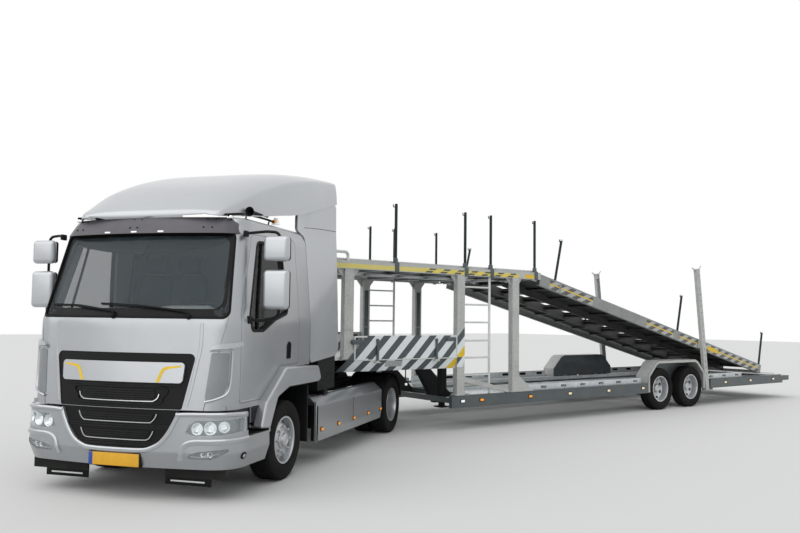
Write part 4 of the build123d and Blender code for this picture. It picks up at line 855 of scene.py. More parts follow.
def makeCab():
    outer = skinSolid("cabOuter", "cab", 0, cab["low"], cab["high"], cab["crown"])
    inner = skinSolid("cabInner", "cab", cab["wall"], cab["low"] - 0.1, cab["high"] - 0.04, 0.05)
    shell = combine(outer, inner, "DIFFERENCE")
    opening = prism("opening", cab["window"], "y", 0.6, 1.3, cab["windowCorners"], 7)
    door = bpy.data.objects.new("doorPanelLeft", shell.data.copy())
    scene.collection.objects.link(door)
    combine(door, prism("cut", grown(cab["door"], -cab["gap"]), "y", 0.6, 1.3, cab["doorCorners"], 7),
        "INTERSECT")
    combine(door, opening, "DIFFERENCE", keepTool=True)
    for side in (1, -1):
        cut = prism("cut", cab["door"], "y", 0.6, 1.3, cab["doorCorners"], 7)
        cut.data.transform(Matrix.Scale(side, 4, (0, 1, 0)))
        if side < 0:
            cut.data.flip_normals()
        combine(shell, cut, "DIFFERENCE")
    combine(shell, prism("cut", cab["screen"], "x", 0.45, 1.6, 0.07, 7), "DIFFERENCE")
    combine(shell, prism("cut", cab["arch"], "y", -1.3, 1.3), "DIFFERENCE")
    combine(shell, prism("cut", cab["field"], "x", 1.0, 1.6, [0.05, 0.05, 0.02, 0.02], 6), "DIFFERENCE")
    seam = fromFront("cab", cab["seam"])
    nick = slab(0.0035, 0.0035, -0.012, 0.006)
    for side in (1, -1):
        groove = skinMoulding("groove", "cab", [(side * u, z) for u, z in seam], nick, 40)
        tidyMesh(groove)
        combine(shell, groove, "DIFFERENCE")
    floor = prism("cabFloor", [(-0.57, 1.122), (0.16, 1.122), (0.53, 0.84), (0.53, 0.803), (1.15, 0.803),
        (1.15, 0.835), (0.56, 0.835), (0.56, 0.86), (0.17, 1.157), (-0.57, 1.157)], "y", -1.0, 1.0)
    lining = skinSolid("cabLining", "cab", cab["wall"] + 0.004, 0.9, cab["high"] - 0.05, 0.05)
    hollow = skinSolid("cut", "cab", cab["wall"] + 0.01, 0.8, cab["high"] - 0.056, 0.05)
    combine(lining, hollow, "DIFFERENCE")
    # the lining stops at the doors, the screen and the arch
    for low, high in ((0.6, 1.3), (-1.3, -0.6)):
        combine(lining, prism("cut", grown(cab["door"], 0.01), "y", low, high), "DIFFERENCE")
    combine(lining, prism("cut", grown(cab["screen"], 0.01), "x", 0.45, 1.6), "DIFFERENCE")
    combine(lining, prism("cut", [(-0.9, 1.13), (0.147, 1.13), (0.53, 0.84), (1.6, 0.84), (1.6, 0.6),
        (-0.9, 0.6)], "y", -1.3, 1.3), "DIFFERENCE")
    onTractor(shell, "silverLacquer", ["cab_shell"], 30, slot="silver_paint")
    onTractor(floor, "liningGrey", ["cab_shell"])
    onTractor(lining, "liningGrey")

    glass = skinPlate("doorPaneLeft", "cab", fromSide("cab",
        roundedOutline(grown(cab["window"], 0.012), 0.06, 4)), -0.028, -0.023)
    ring = skinRing("windowRubberLeft", "cab", fromSide("cab", grown(cab["window"], -0.02)),
        fromSide("cab", grown(cab["window"], 0.007)), 0.05, 0.07, -0.02, 0.003)
    card = skinPlate("doorCardLeft", "cab", fromSide("cab", grown(cab["door"], -0.045)), -0.056, -0.0455)
    combine(card, opening, "DIFFERENCE")
    post = skinMoulding("windowDividerLeft", "cab", fromSide("cab",
        [(0.655, 1.5), (0.62, 1.75), (0.54, 2.06), (0.47, 2.35)]), slab(0.014, 0.012, -0.022, -0.008), 24)
    doorPair(door, "silverLacquer", ["door_left"], 30, slot="silver_paint")
    doorPair(glass, "doorGlass", ["door_glass_left"], slot="glass")
    doorPair(ring, "blackPolypropylene")
    doorPair(card, "greyAbs")
    doorPair(post, "rubberSeal")


def makeScreen():
    outline = fromFront("cab", cab["screen"])
    glass = skinPlate("windscreenPane", "cab", roundedOutline(outline, 0.07, 6), -0.02, -0.014, 0, 0.06)
    clear = fromFront("cab", cab["clearScreen"])
    band = skinRing("screenFrit", "cab", clear, grown(outline, -0.001), 0.1, 0.07, -0.0135, -0.0125)
    seal = skinRing("screenSeal", "cab", grown(outline, -0.016), grown(outline, 0.006), 0.06, 0.075, -0.012,
        0.003)
    shade = bothWays([(-0.85, 2.385), (-0.85, 2.33), (-0.7, 2.28), (-0.4, 2.235), (0, 2.215)])
    blind = skinPlate("sunBlind", "cab", fromFront("cab", shade), -0.05, -0.045)
    box = skinPlate("screenCamera", "cab", fromFront("cab",
        [(-0.09, 2.34), (0.05, 2.34), (0.03, 2.2), (-0.06, 2.2)]), -0.044, -0.026, 0.02)
    onTractor(glass, "screenGlass", ["windscreen"], slot="glass")
    onTractor(band, "blackGlossAbs")
    onTractor(seal, "rubberSeal")
    onTractor(blind, "rubberSeal")
    onTractor(box, "blackPolypropylene")
    # wipers lie low on the screen: an arm with a bend, and a blade on it
    wipers = (("wiperLeft", [(0.62, 1.615), (0.55, 1.66), (0.1, 1.71)], [(0.55, 1.665), (-0.28, 1.725)]),
        ("wiperRight", [(-0.12, 1.615), (-0.16, 1.66), (-0.55, 1.70)], [(-0.2, 1.665), (-0.86, 1.715)]))
    bar, rubber = slab(0.009, 0.007, 0.004, 0.018), slab(0.006, 0.009, -0.012, 0.01)
    for name, arm, (a, b) in wipers:
        blade = [a, ((a[0] + b[0]) / 2, 1.705), b]
        parts = [skinMoulding("arm", "cab", fromFront("cab", arm), bar, 30),
            skinMoulding("blade", "cab", fromFront("cab", blade), rubber, 30)]
        hub = turned("hub", [(0, 0.001), (0, 0.024), (0.02, 0.022), (0.03, 0.012), (0.03, 0.001)], 20, "x")
        spot = skinPoints("cab", *np.array(fromFront("cab", [arm[0]])).T)[0]
        moved(hub, *spot)
        onTractor(joined(name, parts + [hub]), "rubberSeal")


def makeBonnetFace():
    field = skinPlate("grilleField", "cab", fromFront("cab", grown(cab["field"], 0.012)), -0.03, -0.008, 0.05)
    onTractor(field, "blackGlossAbs", ["grille"], slot="black_plastic")
    bar = skinPlate("nameBar", "cab", fromFront("cab", slab(0.632, 0.618, 1.21, 1.03)), -0.01, 0.014, 0.035,
        0.04)
    onTractor(bar, "silverMoulding", bevel=0.004)
    curve = [(0.6, 1.186), (0.455, 1.172), (0.42, 1.15), (0.402, 1.11), (0.372, 1.034), (0.405, 1.034),
        (0.428, 1.1), (0.445, 1.135), (0.475, 1.15), (0.6, 1.172)]
    accents = [skinPlate("accent", "cab", fromFront("cab", [(side * y, z) for y, z in curve]), 0.0125, 0.0155,
        0.006) for side in (1, -1)]
    onTractor(joined("barAccents", accents), "yellowFilm")
    # slats across the upper mouth, and a chin bar under the name bar
    slatRow("upperSlats", "cab", [(-0.006, -0.01), (0.006, -0.006), (0.006, 0.001), (-0.006, 0.004)],
        ((0.6, 1.008), (0.36, 0.965), (0.365, 0.945), (0.37, 0.925), (0.36, 0.905), (0.34, 0.885)))
    frame = skinMoulding("mouthFrame", "cab", fromFront("cab",
        [(-0.45, 0.985), (0, 0.99), (0.45, 0.985), (0.44, 0.9), (0.38, 0.848), (0, 0.846), (-0.38, 0.848),
        (-0.44, 0.9)]), slab(0.012, 0.008, -0.01, 0.004), 120, closed=True)
    onTractor(frame, "blackPolypropylene")
    hoop = [(-0.007, -0.009), (0.007, -0.009), (0.0065, 0.002), (0.004, 0.007), (-0.004, 0.007),
        (-0.0065, 0.002)]
    line = bothWays([(-0.41, 0.932), (-0.396, 0.897), (-0.366, 0.875), (-0.32, 0.868), (0, 0.866)])
    smile = skinMoulding("smileUpper", "cab", fromFront("cab", line), hoop, 110)
    onTractor(smile, "brightSteel")
    # creases beside the field: a soft raised pillar from lamp to screen
    for side, name in ((1, "pillarLeft"), (-1, "pillarRight")):
        path = [(0.752, 1.56), (0.757, 1.35), (0.733, 1.2), (0.70, 1.0), (0.665, 0.83)]
        crease = skinMoulding(name, "cab", [(side * u, z) for u, z in fromFront("cab", path)],
            slab(0.022, 0.012, -0.004, 0.0035), 50)
        onTractor(crease, "silverLacquer")


def makeDeflectors():
    # a recess behind a bent bright lip at each front corner
    recess = [(0.872, 1.3), (1.03, 1.3), (1.03, 1.02), (0.985, 0.925), (0.845, 0.885)]
    lip = [(0.862, 1.318), (0.93, 1.322), (1.01, 1.33), (1.045, 1.31), (1.05, 1.2), (1.045, 1.03),
        (1.02, 0.95), (0.95, 0.905), (0.85, 0.875)]
    brow = [(0.855, 1.325), (0.9, 1.37), (1.125, 1.4), (1.165, 1.368), (1.06, 1.345), (1.0, 1.335)]
    plate = skinPlate("cornerRecessLeft", "cab", recess, -0.004, 0.003, 0.02)
    rim = skinMoulding("cornerLipLeft", "cab", lip, [(-0.012, -0.006), (0.012, -0.006), (0.011, 0.012),
        (0.003, 0.022), (-0.008, 0.016)], 70)
    hood = skinPlate("cornerBrowLeft", "cab", brow, -0.006, 0.026, 0.012)
    tractorPair(plate, "cornerShade")
    tractorPair(rim, "silverMoulding")
    tractorPair(hood, "silverMoulding", bevel=0.006)


makeCab()
print("cab cut into shell and doors")
makeScreen()
makeBonnetFace()
makeDeflectors()
print("cab front dressed")


# Front bumper with its lamps, all cut and laid on the bumper's own skin
bumper = {
    "low": 0.29, "high": 0.78, "wall": 0.04,
    "bowl": [(-0.6, 0.81), (0.6, 0.81), (0.56, 0.69), (0.5, 0.585), (0.43, 0.51), (0.34, 0.467),
        (0.25, 0.453), (-0.25, 0.453), (-0.34, 0.467), (-0.43, 0.51), (-0.5, 0.585), (-0.56, 0.69)],
    "lamp": [(0.655, 0.6), (0.7, 0.68), (0.76, 0.722), (1.1, 0.738), (1.119, 0.735), (1.119, 0.612),
        (1.0, 0.585), (0.76, 0.575)],
    "fog": [(0.69, 0.385), (0.72, 0.425), (0.8, 0.45), (1.07, 0.478), (1.0, 0.42), (0.9, 0.385)],
    "bowls": [(0.775, 0.645, 0.05), (0.895, 0.652, 0.054), (1.01, 0.662, 0.046)],
}


def lampBowl(name, y, z, radius, depth, back):
    # a paraboloid mirror sunk into a skin: depth falls with the square of the distance from its axis
    u = fromFront("bumper", [(y, z)])[0][0]
    r = np.linspace(radius, 0.004, 14)
    front = np.stack([-depth * (1 - (r / radius) ** 2), r], axis=1)
    rear = np.stack([front[::-1, 0] - 0.003, front[::-1, 1]], axis=1)
    profile = np.concatenate([[(0.002, radius + 0.004)], front, rear, [(-0.002, radius + 0.004)]])
    return seated(turned(name, profile, 40, "x"), "bumper", u, z, back)


def makeBumperShell():
    outer = skinSolid("frontBumper", "bumper", 0, bumper["low"], bumper["high"], 0.015)
    combine(outer, skinSolid("cut", "bumper", bumper["wall"], 0.2, 0.745, 0.01), "DIFFERENCE")
    for side in (1, -1):
        well = roundBox("well", (0.45, 0.86, 0.535), (0.95, 1.108, 0.779), 0.01)
        cut = roundBox("cut", (0.49, 0.9, 0.56), (0.925, 1.3, 0.9), 0.025)
        for tool, kind in ((well, "UNION"), (cut, "DIFFERENCE")):
            tool.data.transform(Matrix.Scale(side, 4, (0, 1, 0)))
            tidyMesh(tool)
            combine(outer, tool, kind)
        for outline, radius in ((bumper["lamp"], 0.02), (bumper["fog"], 0.012)):
            cut = prism("cut", outline, "x", 0.9, 1.5, radius, 4)
            cut.data.transform(Matrix.Scale(side, 4, (0, 1, 0)))
            tidyMesh(cut)
            combine(outer, cut, "DIFFERENCE")
    combine(outer, prism("cut", bumper["bowl"], "x", 1.1, 1.5), "DIFFERENCE")
    onTractor(outer, "silverLacquer", ["front_bumper"], 30, slot="silver_paint")
    bowl = skinPlate("bowlPanel", "bumper", fromFront("bumper", grown(bumper["bowl"], 0.012)), -0.04, -0.018)
    onTractor(bowl, "blackGlossAbs", ["grille"], slot="black_plastic")


def makeBumperFace():
    lip = bothWays([(-0.605, 0.775), (-0.59, 0.735), (-0.56, 0.672), (-0.505, 0.578), (-0.435, 0.502),
        (-0.34, 0.455), (-0.25, 0.44), (0, 0.437)])
    trim = skinMoulding("bowlTrim", "bumper", fromFront("bumper", lip),
        [(-0.021, -0.012), (0.021, -0.02), (0.02, 0.004), (0.008, 0.013), (-0.012, 0.011), (-0.021, 0.002)],
        140)
    onTractor(trim, "silverMoulding")
    hoop = [(-0.007, -0.02), (0.007, -0.02), (0.0065, -0.006), (0.004, -0.001), (-0.004, -0.001),
        (-0.0065, -0.006)]
    smiles = []
    for top, low, wide, narrow in ((0.76, 0.682, 0.4, 0.31), (0.612, 0.53, 0.372, 0.262)):
        line = bothWays([(-wide, top), (-wide + 0.016, top - 0.036), (-wide + 0.047, low + 0.01),
            (-narrow, low + 0.001), (0, low)])
        smiles.append(skinMoulding("smile", "bumper", fromFront("bumper", line), hoop, 110))
    onTractor(joined("smilesLower", smiles), "brightSteel")
    slatRow("lowerSlats", "bumper", [(-0.006, -0.02), (0.006, -0.018), (0.006, -0.009), (-0.006, -0.006)],
        ((0.54, 0.655), (0.52, 0.637), (0.36, 0.745), (0.355, 0.727), (0.34, 0.709), (0.335, 0.598),
        (0.32, 0.58), (0.3, 0.562), (0.42, 0.508), (0.4, 0.49)))


def makeBumperSides():
    # strips: one over the lamps, one over the fog lamps that bends down at its inner end
    over = skinMoulding("lampStripLeft", "bumper", [(0.6, 0.757), (0.7, 0.763), (0.9, 0.767), (1.1, 0.768),
        (1.235, 0.763)], [(-0.02, -0.004), (0.02, -0.004), (0.018, 0.01), (0.004, 0.019), (-0.012, 0.014)],
        50)
    under = skinMoulding("fogStripLeft", "bumper", [(0.632, 0.37), (0.645, 0.43), (0.68, 0.495),
        (0.76, 0.525), (0.9, 0.531), (1.1, 0.537), (1.3, 0.543)],
        [(-0.028, -0.004), (0.028, -0.004), (0.026, 0.01), (0.014, 0.019), (-0.012, 0.013)], 60)
    house = skinPlate("lampHousingLeft", "bumper", fromFront("bumper", grown(bumper["lamp"], 0.006)), -0.066,
        -0.058)
    bowls = joined("lampBowlsLeft", [lampBowl("bowl", y, z, r, 0.035, 0.02) for y, z, r in bumper["bowls"]])
    bulbs = joined("lampEyesLeft", [lampBowl("eye", y, z, r * 0.36, -0.012, 0.048)
        for y, z, r in bumper["bowls"]])
    lens = skinPlate("lampLensLeft", "bumper", fromFront("bumper", bumper["lamp"]), -0.002, 0.003, 0.015)
    bezel = skinRing("lampBezelLeft", "bumper", fromFront("bumper", grown(bumper["lamp"], -0.009)),
        fromFront("bumper", grown(bumper["lamp"], 0.003)), 0.015, 0.02, -0.05, -0.004)
    fog = skinPlate("fogPanelLeft", "bumper", fromFront("bumper", grown(bumper["fog"], 0.004)), -0.03, -0.02)
    fogEyes = joined("fogEyesLeft", [lampBowl("eye", y, z, 0.022, 0.012, 0.014)
        for y, z in ((0.84, 0.418), (0.9, 0.425))])
    fogSlot = skinMoulding("fogSlotLeft", "bumper", fromFront("bumper",
        [(0.72, 0.402), (0.85, 0.4), (0.98, 0.437)]), slab(0.004, 0.003, -0.02, -0.008), 24)
    fogGlass = skinPlate("fogLensLeft", "bumper", fromFront("bumper", bumper["fog"]), -0.006, -0.002, 0.01)
    # towing eye cover near the corner: a dark ring round a silver disc
    ring = turned("towRingLeft", [(0.0, 0.019), (0.008, 0.021), (0.008, 0.032), (0.0, 0.034)], 28, "x")
    cap = turned("towCapLeft", [(0.0, 0), (0.012, 0), (0.014, 0.012), (0.01, 0.018), (0.0, 0.019)], 28, "x")
    for disc in (ring, cap):
        seated(disc, "bumper", 1.235, 0.402)
    tread = roundBox("stepTreadLeft", (0.505, 0.56, 0.536), (0.935, 1.088, 0.563), 0.008)
    ribs = [roundBox("rib", (x, 0.9, 0.56), (x + 0.012, 1.082, 0.568), 0.003, 2)
        for x in np.arange(0.53, 0.91, 0.034)]
    tread = joined("stepTreadLeft", [tread] + ribs)
    tractorPair(over, "silverMoulding")
    tractorPair(under, "silverMoulding")
    tractorPair(house, "lampHousing", ["headlamps"])
    tractorPair(bowls, "lampReflector")
    tractorPair(bulbs, "lampWhite")
    tractorPair(lens, "lampGlass", ["headlamps"])
    tractorPair(bezel, "silverLacquer")
    tractorPair(fog, "blackPolypropylene", ["headlamps"])
    tractorPair(fogEyes, "lampReflector")
    tractorPair(fogSlot, "silverMoulding")
    tractorPair(fogGlass, "lampGlass")
    tractorPair(ring, "rubberSeal")
    tractorPair(cap, "silverMoulding")
    tractorPair(tread, "blackPolypropylene")


def makePlateAndFlaps():
    plate = roundBox("numberPlate", (1.288, -0.262, 0.296), (1.3, 0.252, 0.408), 0.004, 3)
    band = roundBox("plateBand", (1.292, -0.262, 0.297), (1.3012, -0.218, 0.407), 0.0035, 3)
    holder = roundBox("plateHolder", (1.25, -0.27, 0.288), (1.289, 0.26, 0.416), 0.006, 3)
    onTractor(plate, "plateYellow")
    onTractor(band, "plateBlue")
    onTractor(holder, "blackPolypropylene")
    for y, name in ((0.4, "Left"), (-0.86, "Right")):
        flap = roundBox("frontFlap" + name, (1.1, y, 0.13), (1.111, y + 0.46, 0.3), 0.003, 2)
        bar = roundBox("flapBar" + name, (1.11, y + 0.06, 0.158), (1.1155, y + 0.4, 0.172), 0.002, 2)
        onTractor(flap, "rubberSeal")
        onTractor(bar, "whiteTube")


makeBumperShell()
makeBumperFace()
makeBumperSides()
makePlateAndFlaps()
print("bumper dressed")


# Roof: smoked visor on brackets, hood and the collars behind the cab
roof = {
    "visor": [(0.55, -0.985), (0.8, -0.95), (0.9, -0.87), (0.953, -0.745), (1.02, -0.38), (1.043, 0),
        (1.02, 0.38), (0.953, 0.745), (0.9, 0.87), (0.8, 0.95), (0.55, 0.985)],
    "hood": [(0.93, 0.66, 2.56, 2.57, 2.58), (0.915, 0.72, 2.555, 2.58, 2.612),
        (0.86, 0.78, 2.552, 2.6, 2.655), (0.7, 0.83, 2.57, 2.66, 2.76), (0.4, 0.9, 2.6, 2.79, 2.93),
        (0.0, 0.947, 2.66, 2.93, 3.08), (-0.4, 0.985, 2.72, 3.04, 3.185), (-0.9, 1.025, 2.85, 3.13, 3.26),
        (-1.33, 1.056, 2.96, 3.18, 3.29)],
    "collar": [(-0.585, 1.13), (-1.36, 1.18), (-1.43, 1.22), (-1.46, 1.29), (-1.345, 2.62), (-1.335, 2.965),
        (-0.98, 2.875), (-0.6, 2.78), (-0.42, 2.73), (-0.42, 2.56), (-0.585, 2.5)],
}


def hoodGrid(inset, count=30, across=48):
    # stations along the roof; each is a side wall that rolls into a crowned top (superellipse)
    table = smoothPath(np.array(roof["hood"]), count)
    x, half, low, shoulder, top = table.T
    t = np.linspace(-1, 1, across)
    a = np.clip((1 - np.abs(t)) / 0.82, 0, 1) * math.pi / 2
    y = np.sign(t)[None] * ((half - inset)[:, None] * np.cos(a)[None] ** 0.42)
    rise = np.sin(a)[None] ** 1.5
    z = shoulder[:, None] + (top - inset - shoulder)[:, None] * rise
    wall = np.clip((np.abs(t) - 0.82) / 0.18, 0, 1)[None]
    z = z * (1 - wall) + wall * low[:, None]
    return np.stack([np.repeat(x[:, None], across, 1), y, z], axis=-1)


def makeHood():
    outer, inner = hoodGrid(0.0), hoodGrid(0.022)
    inner[:, :, 0] -= 0.004
    rings = np.concatenate([outer, inner[:, ::-1]], axis=1)
    hood = loftMesh("roofHood", rings, caps=False)
    work = bmesh.new()
    work.from_mesh(hood.data)
    n = outer.shape[1]
    work.verts.ensure_lookup_table()
    for first in (0, (len(outer) - 1) * 2 * n):
        for i in range(n - 1):
            work.faces.new([work.verts[first + k] for k in (i, i + 1, 2 * n - 2 - i, 2 * n - 1 - i)])
    work.to_mesh(hood.data)
    work.free()
    onTractor(hood, "silverHood", ["roof_fairing"], 50, slot="silver_paint")


def collarY(x, z):
    # half width behind the cab: from the cab's own side to 1.056 m at the collar's rear edge
    t = np.clip((-0.58 - x) / 0.85, 0, 1) ** 0.8
    side = np.interp(z, [1.57, 2.42, 2.55, 3.3], [1.062, 0.985, 0.955, 0.955])
    return side * (1 - t) + 1.056 * t


def makeCollars():
    collar = cellPlate("sideCollarLeft", roundedOutline(roof["collar"], 0.05, 4), 0.08, lambda x, z,
        k: np.stack([x, collarY(x, z) - 0.03 * k, z], axis=-1))
    seam = tube("collarSeamLeft", [(x, collarY(x, z) + 0.001, z)
        for x, z in ((-0.6, 2.605), (-0.9, 2.625), (-1.34, 2.64))], 0.003, 6)
    tractorPair(collar, "silverHood", ["side_collars"], 40)
    tractorPair(seam, "rubberSeal")


def makeVisor():
    path = smoothPath([(x, y, 2.385) for x, y in roof["visor"]], 90)
    section = [(0, 0), (0.028, 0.05), (0.062, 0.105), (0.112, 0.152), (0.12, 0.16), (0.12, 0.151),
        (0.07, 0.104), (0.036, 0.049), (0.008, 0.001)]
    rings = tubeRings(path, section)
    visor = loftMesh("sunVisor", rings)
    onTractor(visor, "smokedAcrylic", ["sun_visor"], 40, slot="smoked_plastic")
    bolts = []
    for y in (-0.78, -0.7, -0.12, -0.04, 0.62, 0.7):
        for z, back in ((2.44, 0.034), (2.525, 0.105)):
            x = np.interp(y, path[:, 1], path[:, 0]) - back
            bolts.append(moved(turned("bolt", [(0, 0), (0.009, 0), (0.008, 0.007), (0.0, 0.009)], 12, "x"), x,
                y, z))
    onTractor(joined("visorBolts", bolts), "rubberSeal")
    lamps = []
    for y in (-0.36, -0.06, 0.22):
        x = np.interp(y, path[:, 1], path[:, 0])
        lamps.append(roundBox("lamp", (x - 0.03, y - 0.03, 2.392), (x - 0.0, y + 0.03, 2.408), 0.006, 3))
    onTractor(joined("visorLamps", lamps), "lampWhite")
    # brackets reach from the roof to the visor's upper edge
    brackets = []
    for y in (-0.7, -0.25, 0.25, 0.7):
        x = np.interp(y, path[:, 1], path[:, 0]) - 0.12
        brackets.append(tube("bracket", bentPath([(x + 0.004, y, 2.53), (x - 0.03, y, 2.545),
            (x - 0.12, y, 2.535)], 0.02), 0.007, 8))
    onTractor(joined("visorBrackets", brackets), "rubberSeal")


def makeRoofThings():
    # rail along the near roof edge on short feet, air horn, marker lamp; the far side has the same rail
    rail = tube("roofRailLeft", smoothPath([(0.88, 0.8, 2.562), (0.6, 0.845, 2.6), (0.2, 0.87, 2.604),
        (-0.12, 0.875, 2.59)], 40), 0.011, 12)
    feet = [tube("foot", [(x, y - 0.02, 2.52), (x, y, 2.598)], 0.008, 8)
        for x, y in ((0.55, 0.85), (0.1, 0.872))]
    rail = joined("roofRailLeft", [rail] + feet)
    tractorPair(rail, "rubberSeal")
    horn = turned("airHorn", [(0.09, 0.045), (0.092, 0.048), (0.075, 0.04), (0.05, 0.028), (0.0, 0.018),
        (-0.1, 0.013), (-0.3, 0.011), (-0.3, 0.006), (-0.1, 0.008), (0.0, 0.012), (0.05, 0.022),
        (0.075, 0.035)], 36, "x")
    onTractor(moved(horn, 0.5, 0.9, 2.625), "blackPolypropylene")
    cone = turned("roofMarkerBase", [(0, 0), (0, 0.045), (0.012, 0.045), (0.07, 0.02), (0.075, 0)], 24, "z")
    onTractor(moved(cone, -0.06, 0.87, 2.575), "lampWhite")
    amber = roundBox("roofMarkerLens", (-0.04, 0.852, 2.588), (0.012, 0.898, 2.618), 0.01, 4)
    onTractor(amber, "amberLens")
    lampRow = roundBox("roofSpotLeft", (0.80, 0.79, 2.527), (0.845, 0.85, 2.56), 0.012, 4)
    tractorPair(lampRow, "lampReflector")


makeHood()
makeCollars()
makeVisor()
makeRoofThings()
print("roof dressed")


# Cab sides: wheel flares, mirrors, handles, skirts with their lamps
sides = {
    "flareOut": [(-0.775, 0.955), (-0.69, 1.105), (0.155, 1.13), (0.58, 0.832), (0.68, 0.595)],
    "flareIn": [(0.489, 0.578), (0.33, 0.85), (0.06, 0.93), (-0.7, 0.93)],
    "skirtFront": -0.77, "skirtRear": -3.06,
    "lamps": (-0.867, -1.394, -1.929, -2.477, -3.0),
    "mirrors": ((2.13, 2.365), (1.69, 2.055)),
}


def makeFlares():
    outline = sides["flareOut"] + sides["flareIn"]
    flare = prism("wheelFlareLeft", outline, "y", 1.03, 1.129,
        [0.06, 0.07, 0.1, 0.09, 0.02, 0.02, 0.1, 0.1, 0.02], 8)
    groove = tube("cut", [(-0.17, y, z) for y, z in ((1.135, 0.9), (1.135, 1.15))], 0.004, 8)
    tidyMesh(groove)
    combine(flare, groove, "DIFFERENCE")
    tractorPair(flare, "silverMoulding", ["wheel_flares"], 40, 0.03)
    # dark lining of the arch, seen over the wheel
    path = bentPath([(0.5, 0, 0.6), (0.33, 0, 0.842), (0.06, 0, 0.922), (-0.7, 0, 0.922)], 0.12, 8)
    lining = loftMesh("archLiningLeft", tubeRings(path, slab(0.22, 0.22, -0.004, 0.004)))
    moved(lining, 0, 0.87, 0)
    tractorPair(lining, "blackPolypropylene")


def makeMirrors():
    for z0, z1 in sides["mirrors"]:
        tall = "tall" if z1 - z0 > 0.3 else "wide"
        cover = roundBox(tall + "MirrorCoverLeft", (0.722, 1.152, z0), (0.806, 1.405, z1), 0.041, 6)
        cup = roundBox(tall + "MirrorCupLeft", (0.696, 1.16, z0 + 0.008), (0.75, 1.397, z1 - 0.008), 0.026, 5)
        glass = roundBox(tall + "MirrorGlassLeft", (0.6945, 1.178, z0 + 0.026), (0.6975, 1.379, z1 - 0.026),
            0.0014, 2)
        doorPair(cover, "silverMoulding", ["mirrors_left"], 50)
        doorPair(cup, "blackPolypropylene")
        doorPair(glass, "brightSteel")
    arm = tube("mirrorArmLeft", bentPath([(0.845, 0.985, 2.385), (0.715, 1.15, 2.415),
        (0.7025, 1.2775, 2.405), (0.7025, 1.2775, 1.62), (0.73, 1.12, 1.585), (0.84, 1.045, 1.6)], 0.06),
        0.0135, 14, up=(1, 0, 0))
    feet = [roundBox("foot", (0.8, 0.985, 2.355), (0.875, 1.012, 2.412), 0.01, 3),
        roundBox("foot", (0.79, 1.035, 1.555), (0.89, 1.068, 1.63), 0.012, 3)]
    arm = joined("mirrorArmLeft", [arm] + feet)
    doorPair(arm, "blackPolypropylene")


def makeHandles():
    # a dark cup in the door with a pull bar over it
    cup = skinPlate("handleCupLeft", "cab", fromSide("cab",
        [(-0.075, 1.205), (0.02, 1.2), (0.015, 1.34), (-0.015, 1.375), (-0.07, 1.375)]), -0.004, 0.002, 0.018)
    pull = skinMoulding("handlePullLeft", "cab", fromSide("cab",
        [(-0.045, 1.205), (-0.05, 1.28), (-0.05, 1.36)]), slab(0.016, 0.013, 0.0, 0.016), 20)
    doorPair(cup, "rubberSeal")
    doorPair(pull, "blackPolypropylene", bevel=0.004)
    # a trim line closes the door's lower edge
    sill = skinMoulding("doorSillLeft", "cab", fromSide("cab", [(0.975, 0.862), (0.8, 0.862), (0.6, 0.862)]),
        slab(0.006, 0.004, 0, 0.004), 20)
    doorPair(sill, "silverMoulding")


def makeSkirts():
    front, rear = sides["skirtFront"], sides["skirtRear"]
    section = [(1.082, 0.262), (1.1, 0.355), (1.1, 0.648), (0.99, 0.742), (0.9, 0.742), (0.9, 0.724),
        (0.982, 0.724), (1.086, 0.638), (1.086, 0.355), (1.068, 0.262)]
    skirt = prism("sideSkirtLeft", section, "x", rear, front,
        [0.004, 0.006, 0.012, 0.02, 0.004, 0.004, 0.016, 0.014, 0.01, 0.004], 4)
    tractorPair(skirt, "silverLacquer", ["side_skirts"], 35, 0.003, "silver_paint")
    # a joint between the two panels, and lamps along the fold
    joint = roundBox("skirtJointLeft", (-1.905, 1.096, 0.356), (-1.899, 1.1015, 0.645), 0.001, 2)
    tractorPair(joint, "rubberSeal")
    for index, x in enumerate(sides["lamps"]):
        base = roundBox("skirtLampBase%dLeft" % index, (x - 0.034, 1.1, 0.366), (x + 0.034, 1.106, 0.414),
            0.003, 3)
        lens = roundBox("skirtLamp%dLeft" % index, (x - 0.027, 1.1, 0.373), (x + 0.027, 1.118, 0.407), 0.008,
            4)
        tractorPair(base, "rubberSeal")
        tractorPair(lens, "amberLens")
    # the reflector takes the amber lens finish, whose glow on it is a painted glint: a reflector is no lamp
    turn = turned("skirtReflectorLeft", [(0, 0), (0, 0.034), (0.012, 0.03), (0.016, 0.0)], 28, "x")
    moved(turn, front, 1.05, 0.6)
    tractorPair(turn, "amberLens")
    seal = roundBox("skirtSealLeft", (front - 0.002, 1.02, 0.27), (front + 0.02, 1.094, 0.655), 0.004, 3)
    tractorPair(seal, "rubberSeal")
    edge = roundBox("spatEdgeLeft", (front + 0.05, 1.07, 0.26), (front + 0.056, 1.1, 0.7), 0.002, 2)
    tractorPair(edge, "silverMoulding")


makeFlares()
makeMirrors()
makeHandles()
makeSkirts()
print("cab sides dressed")


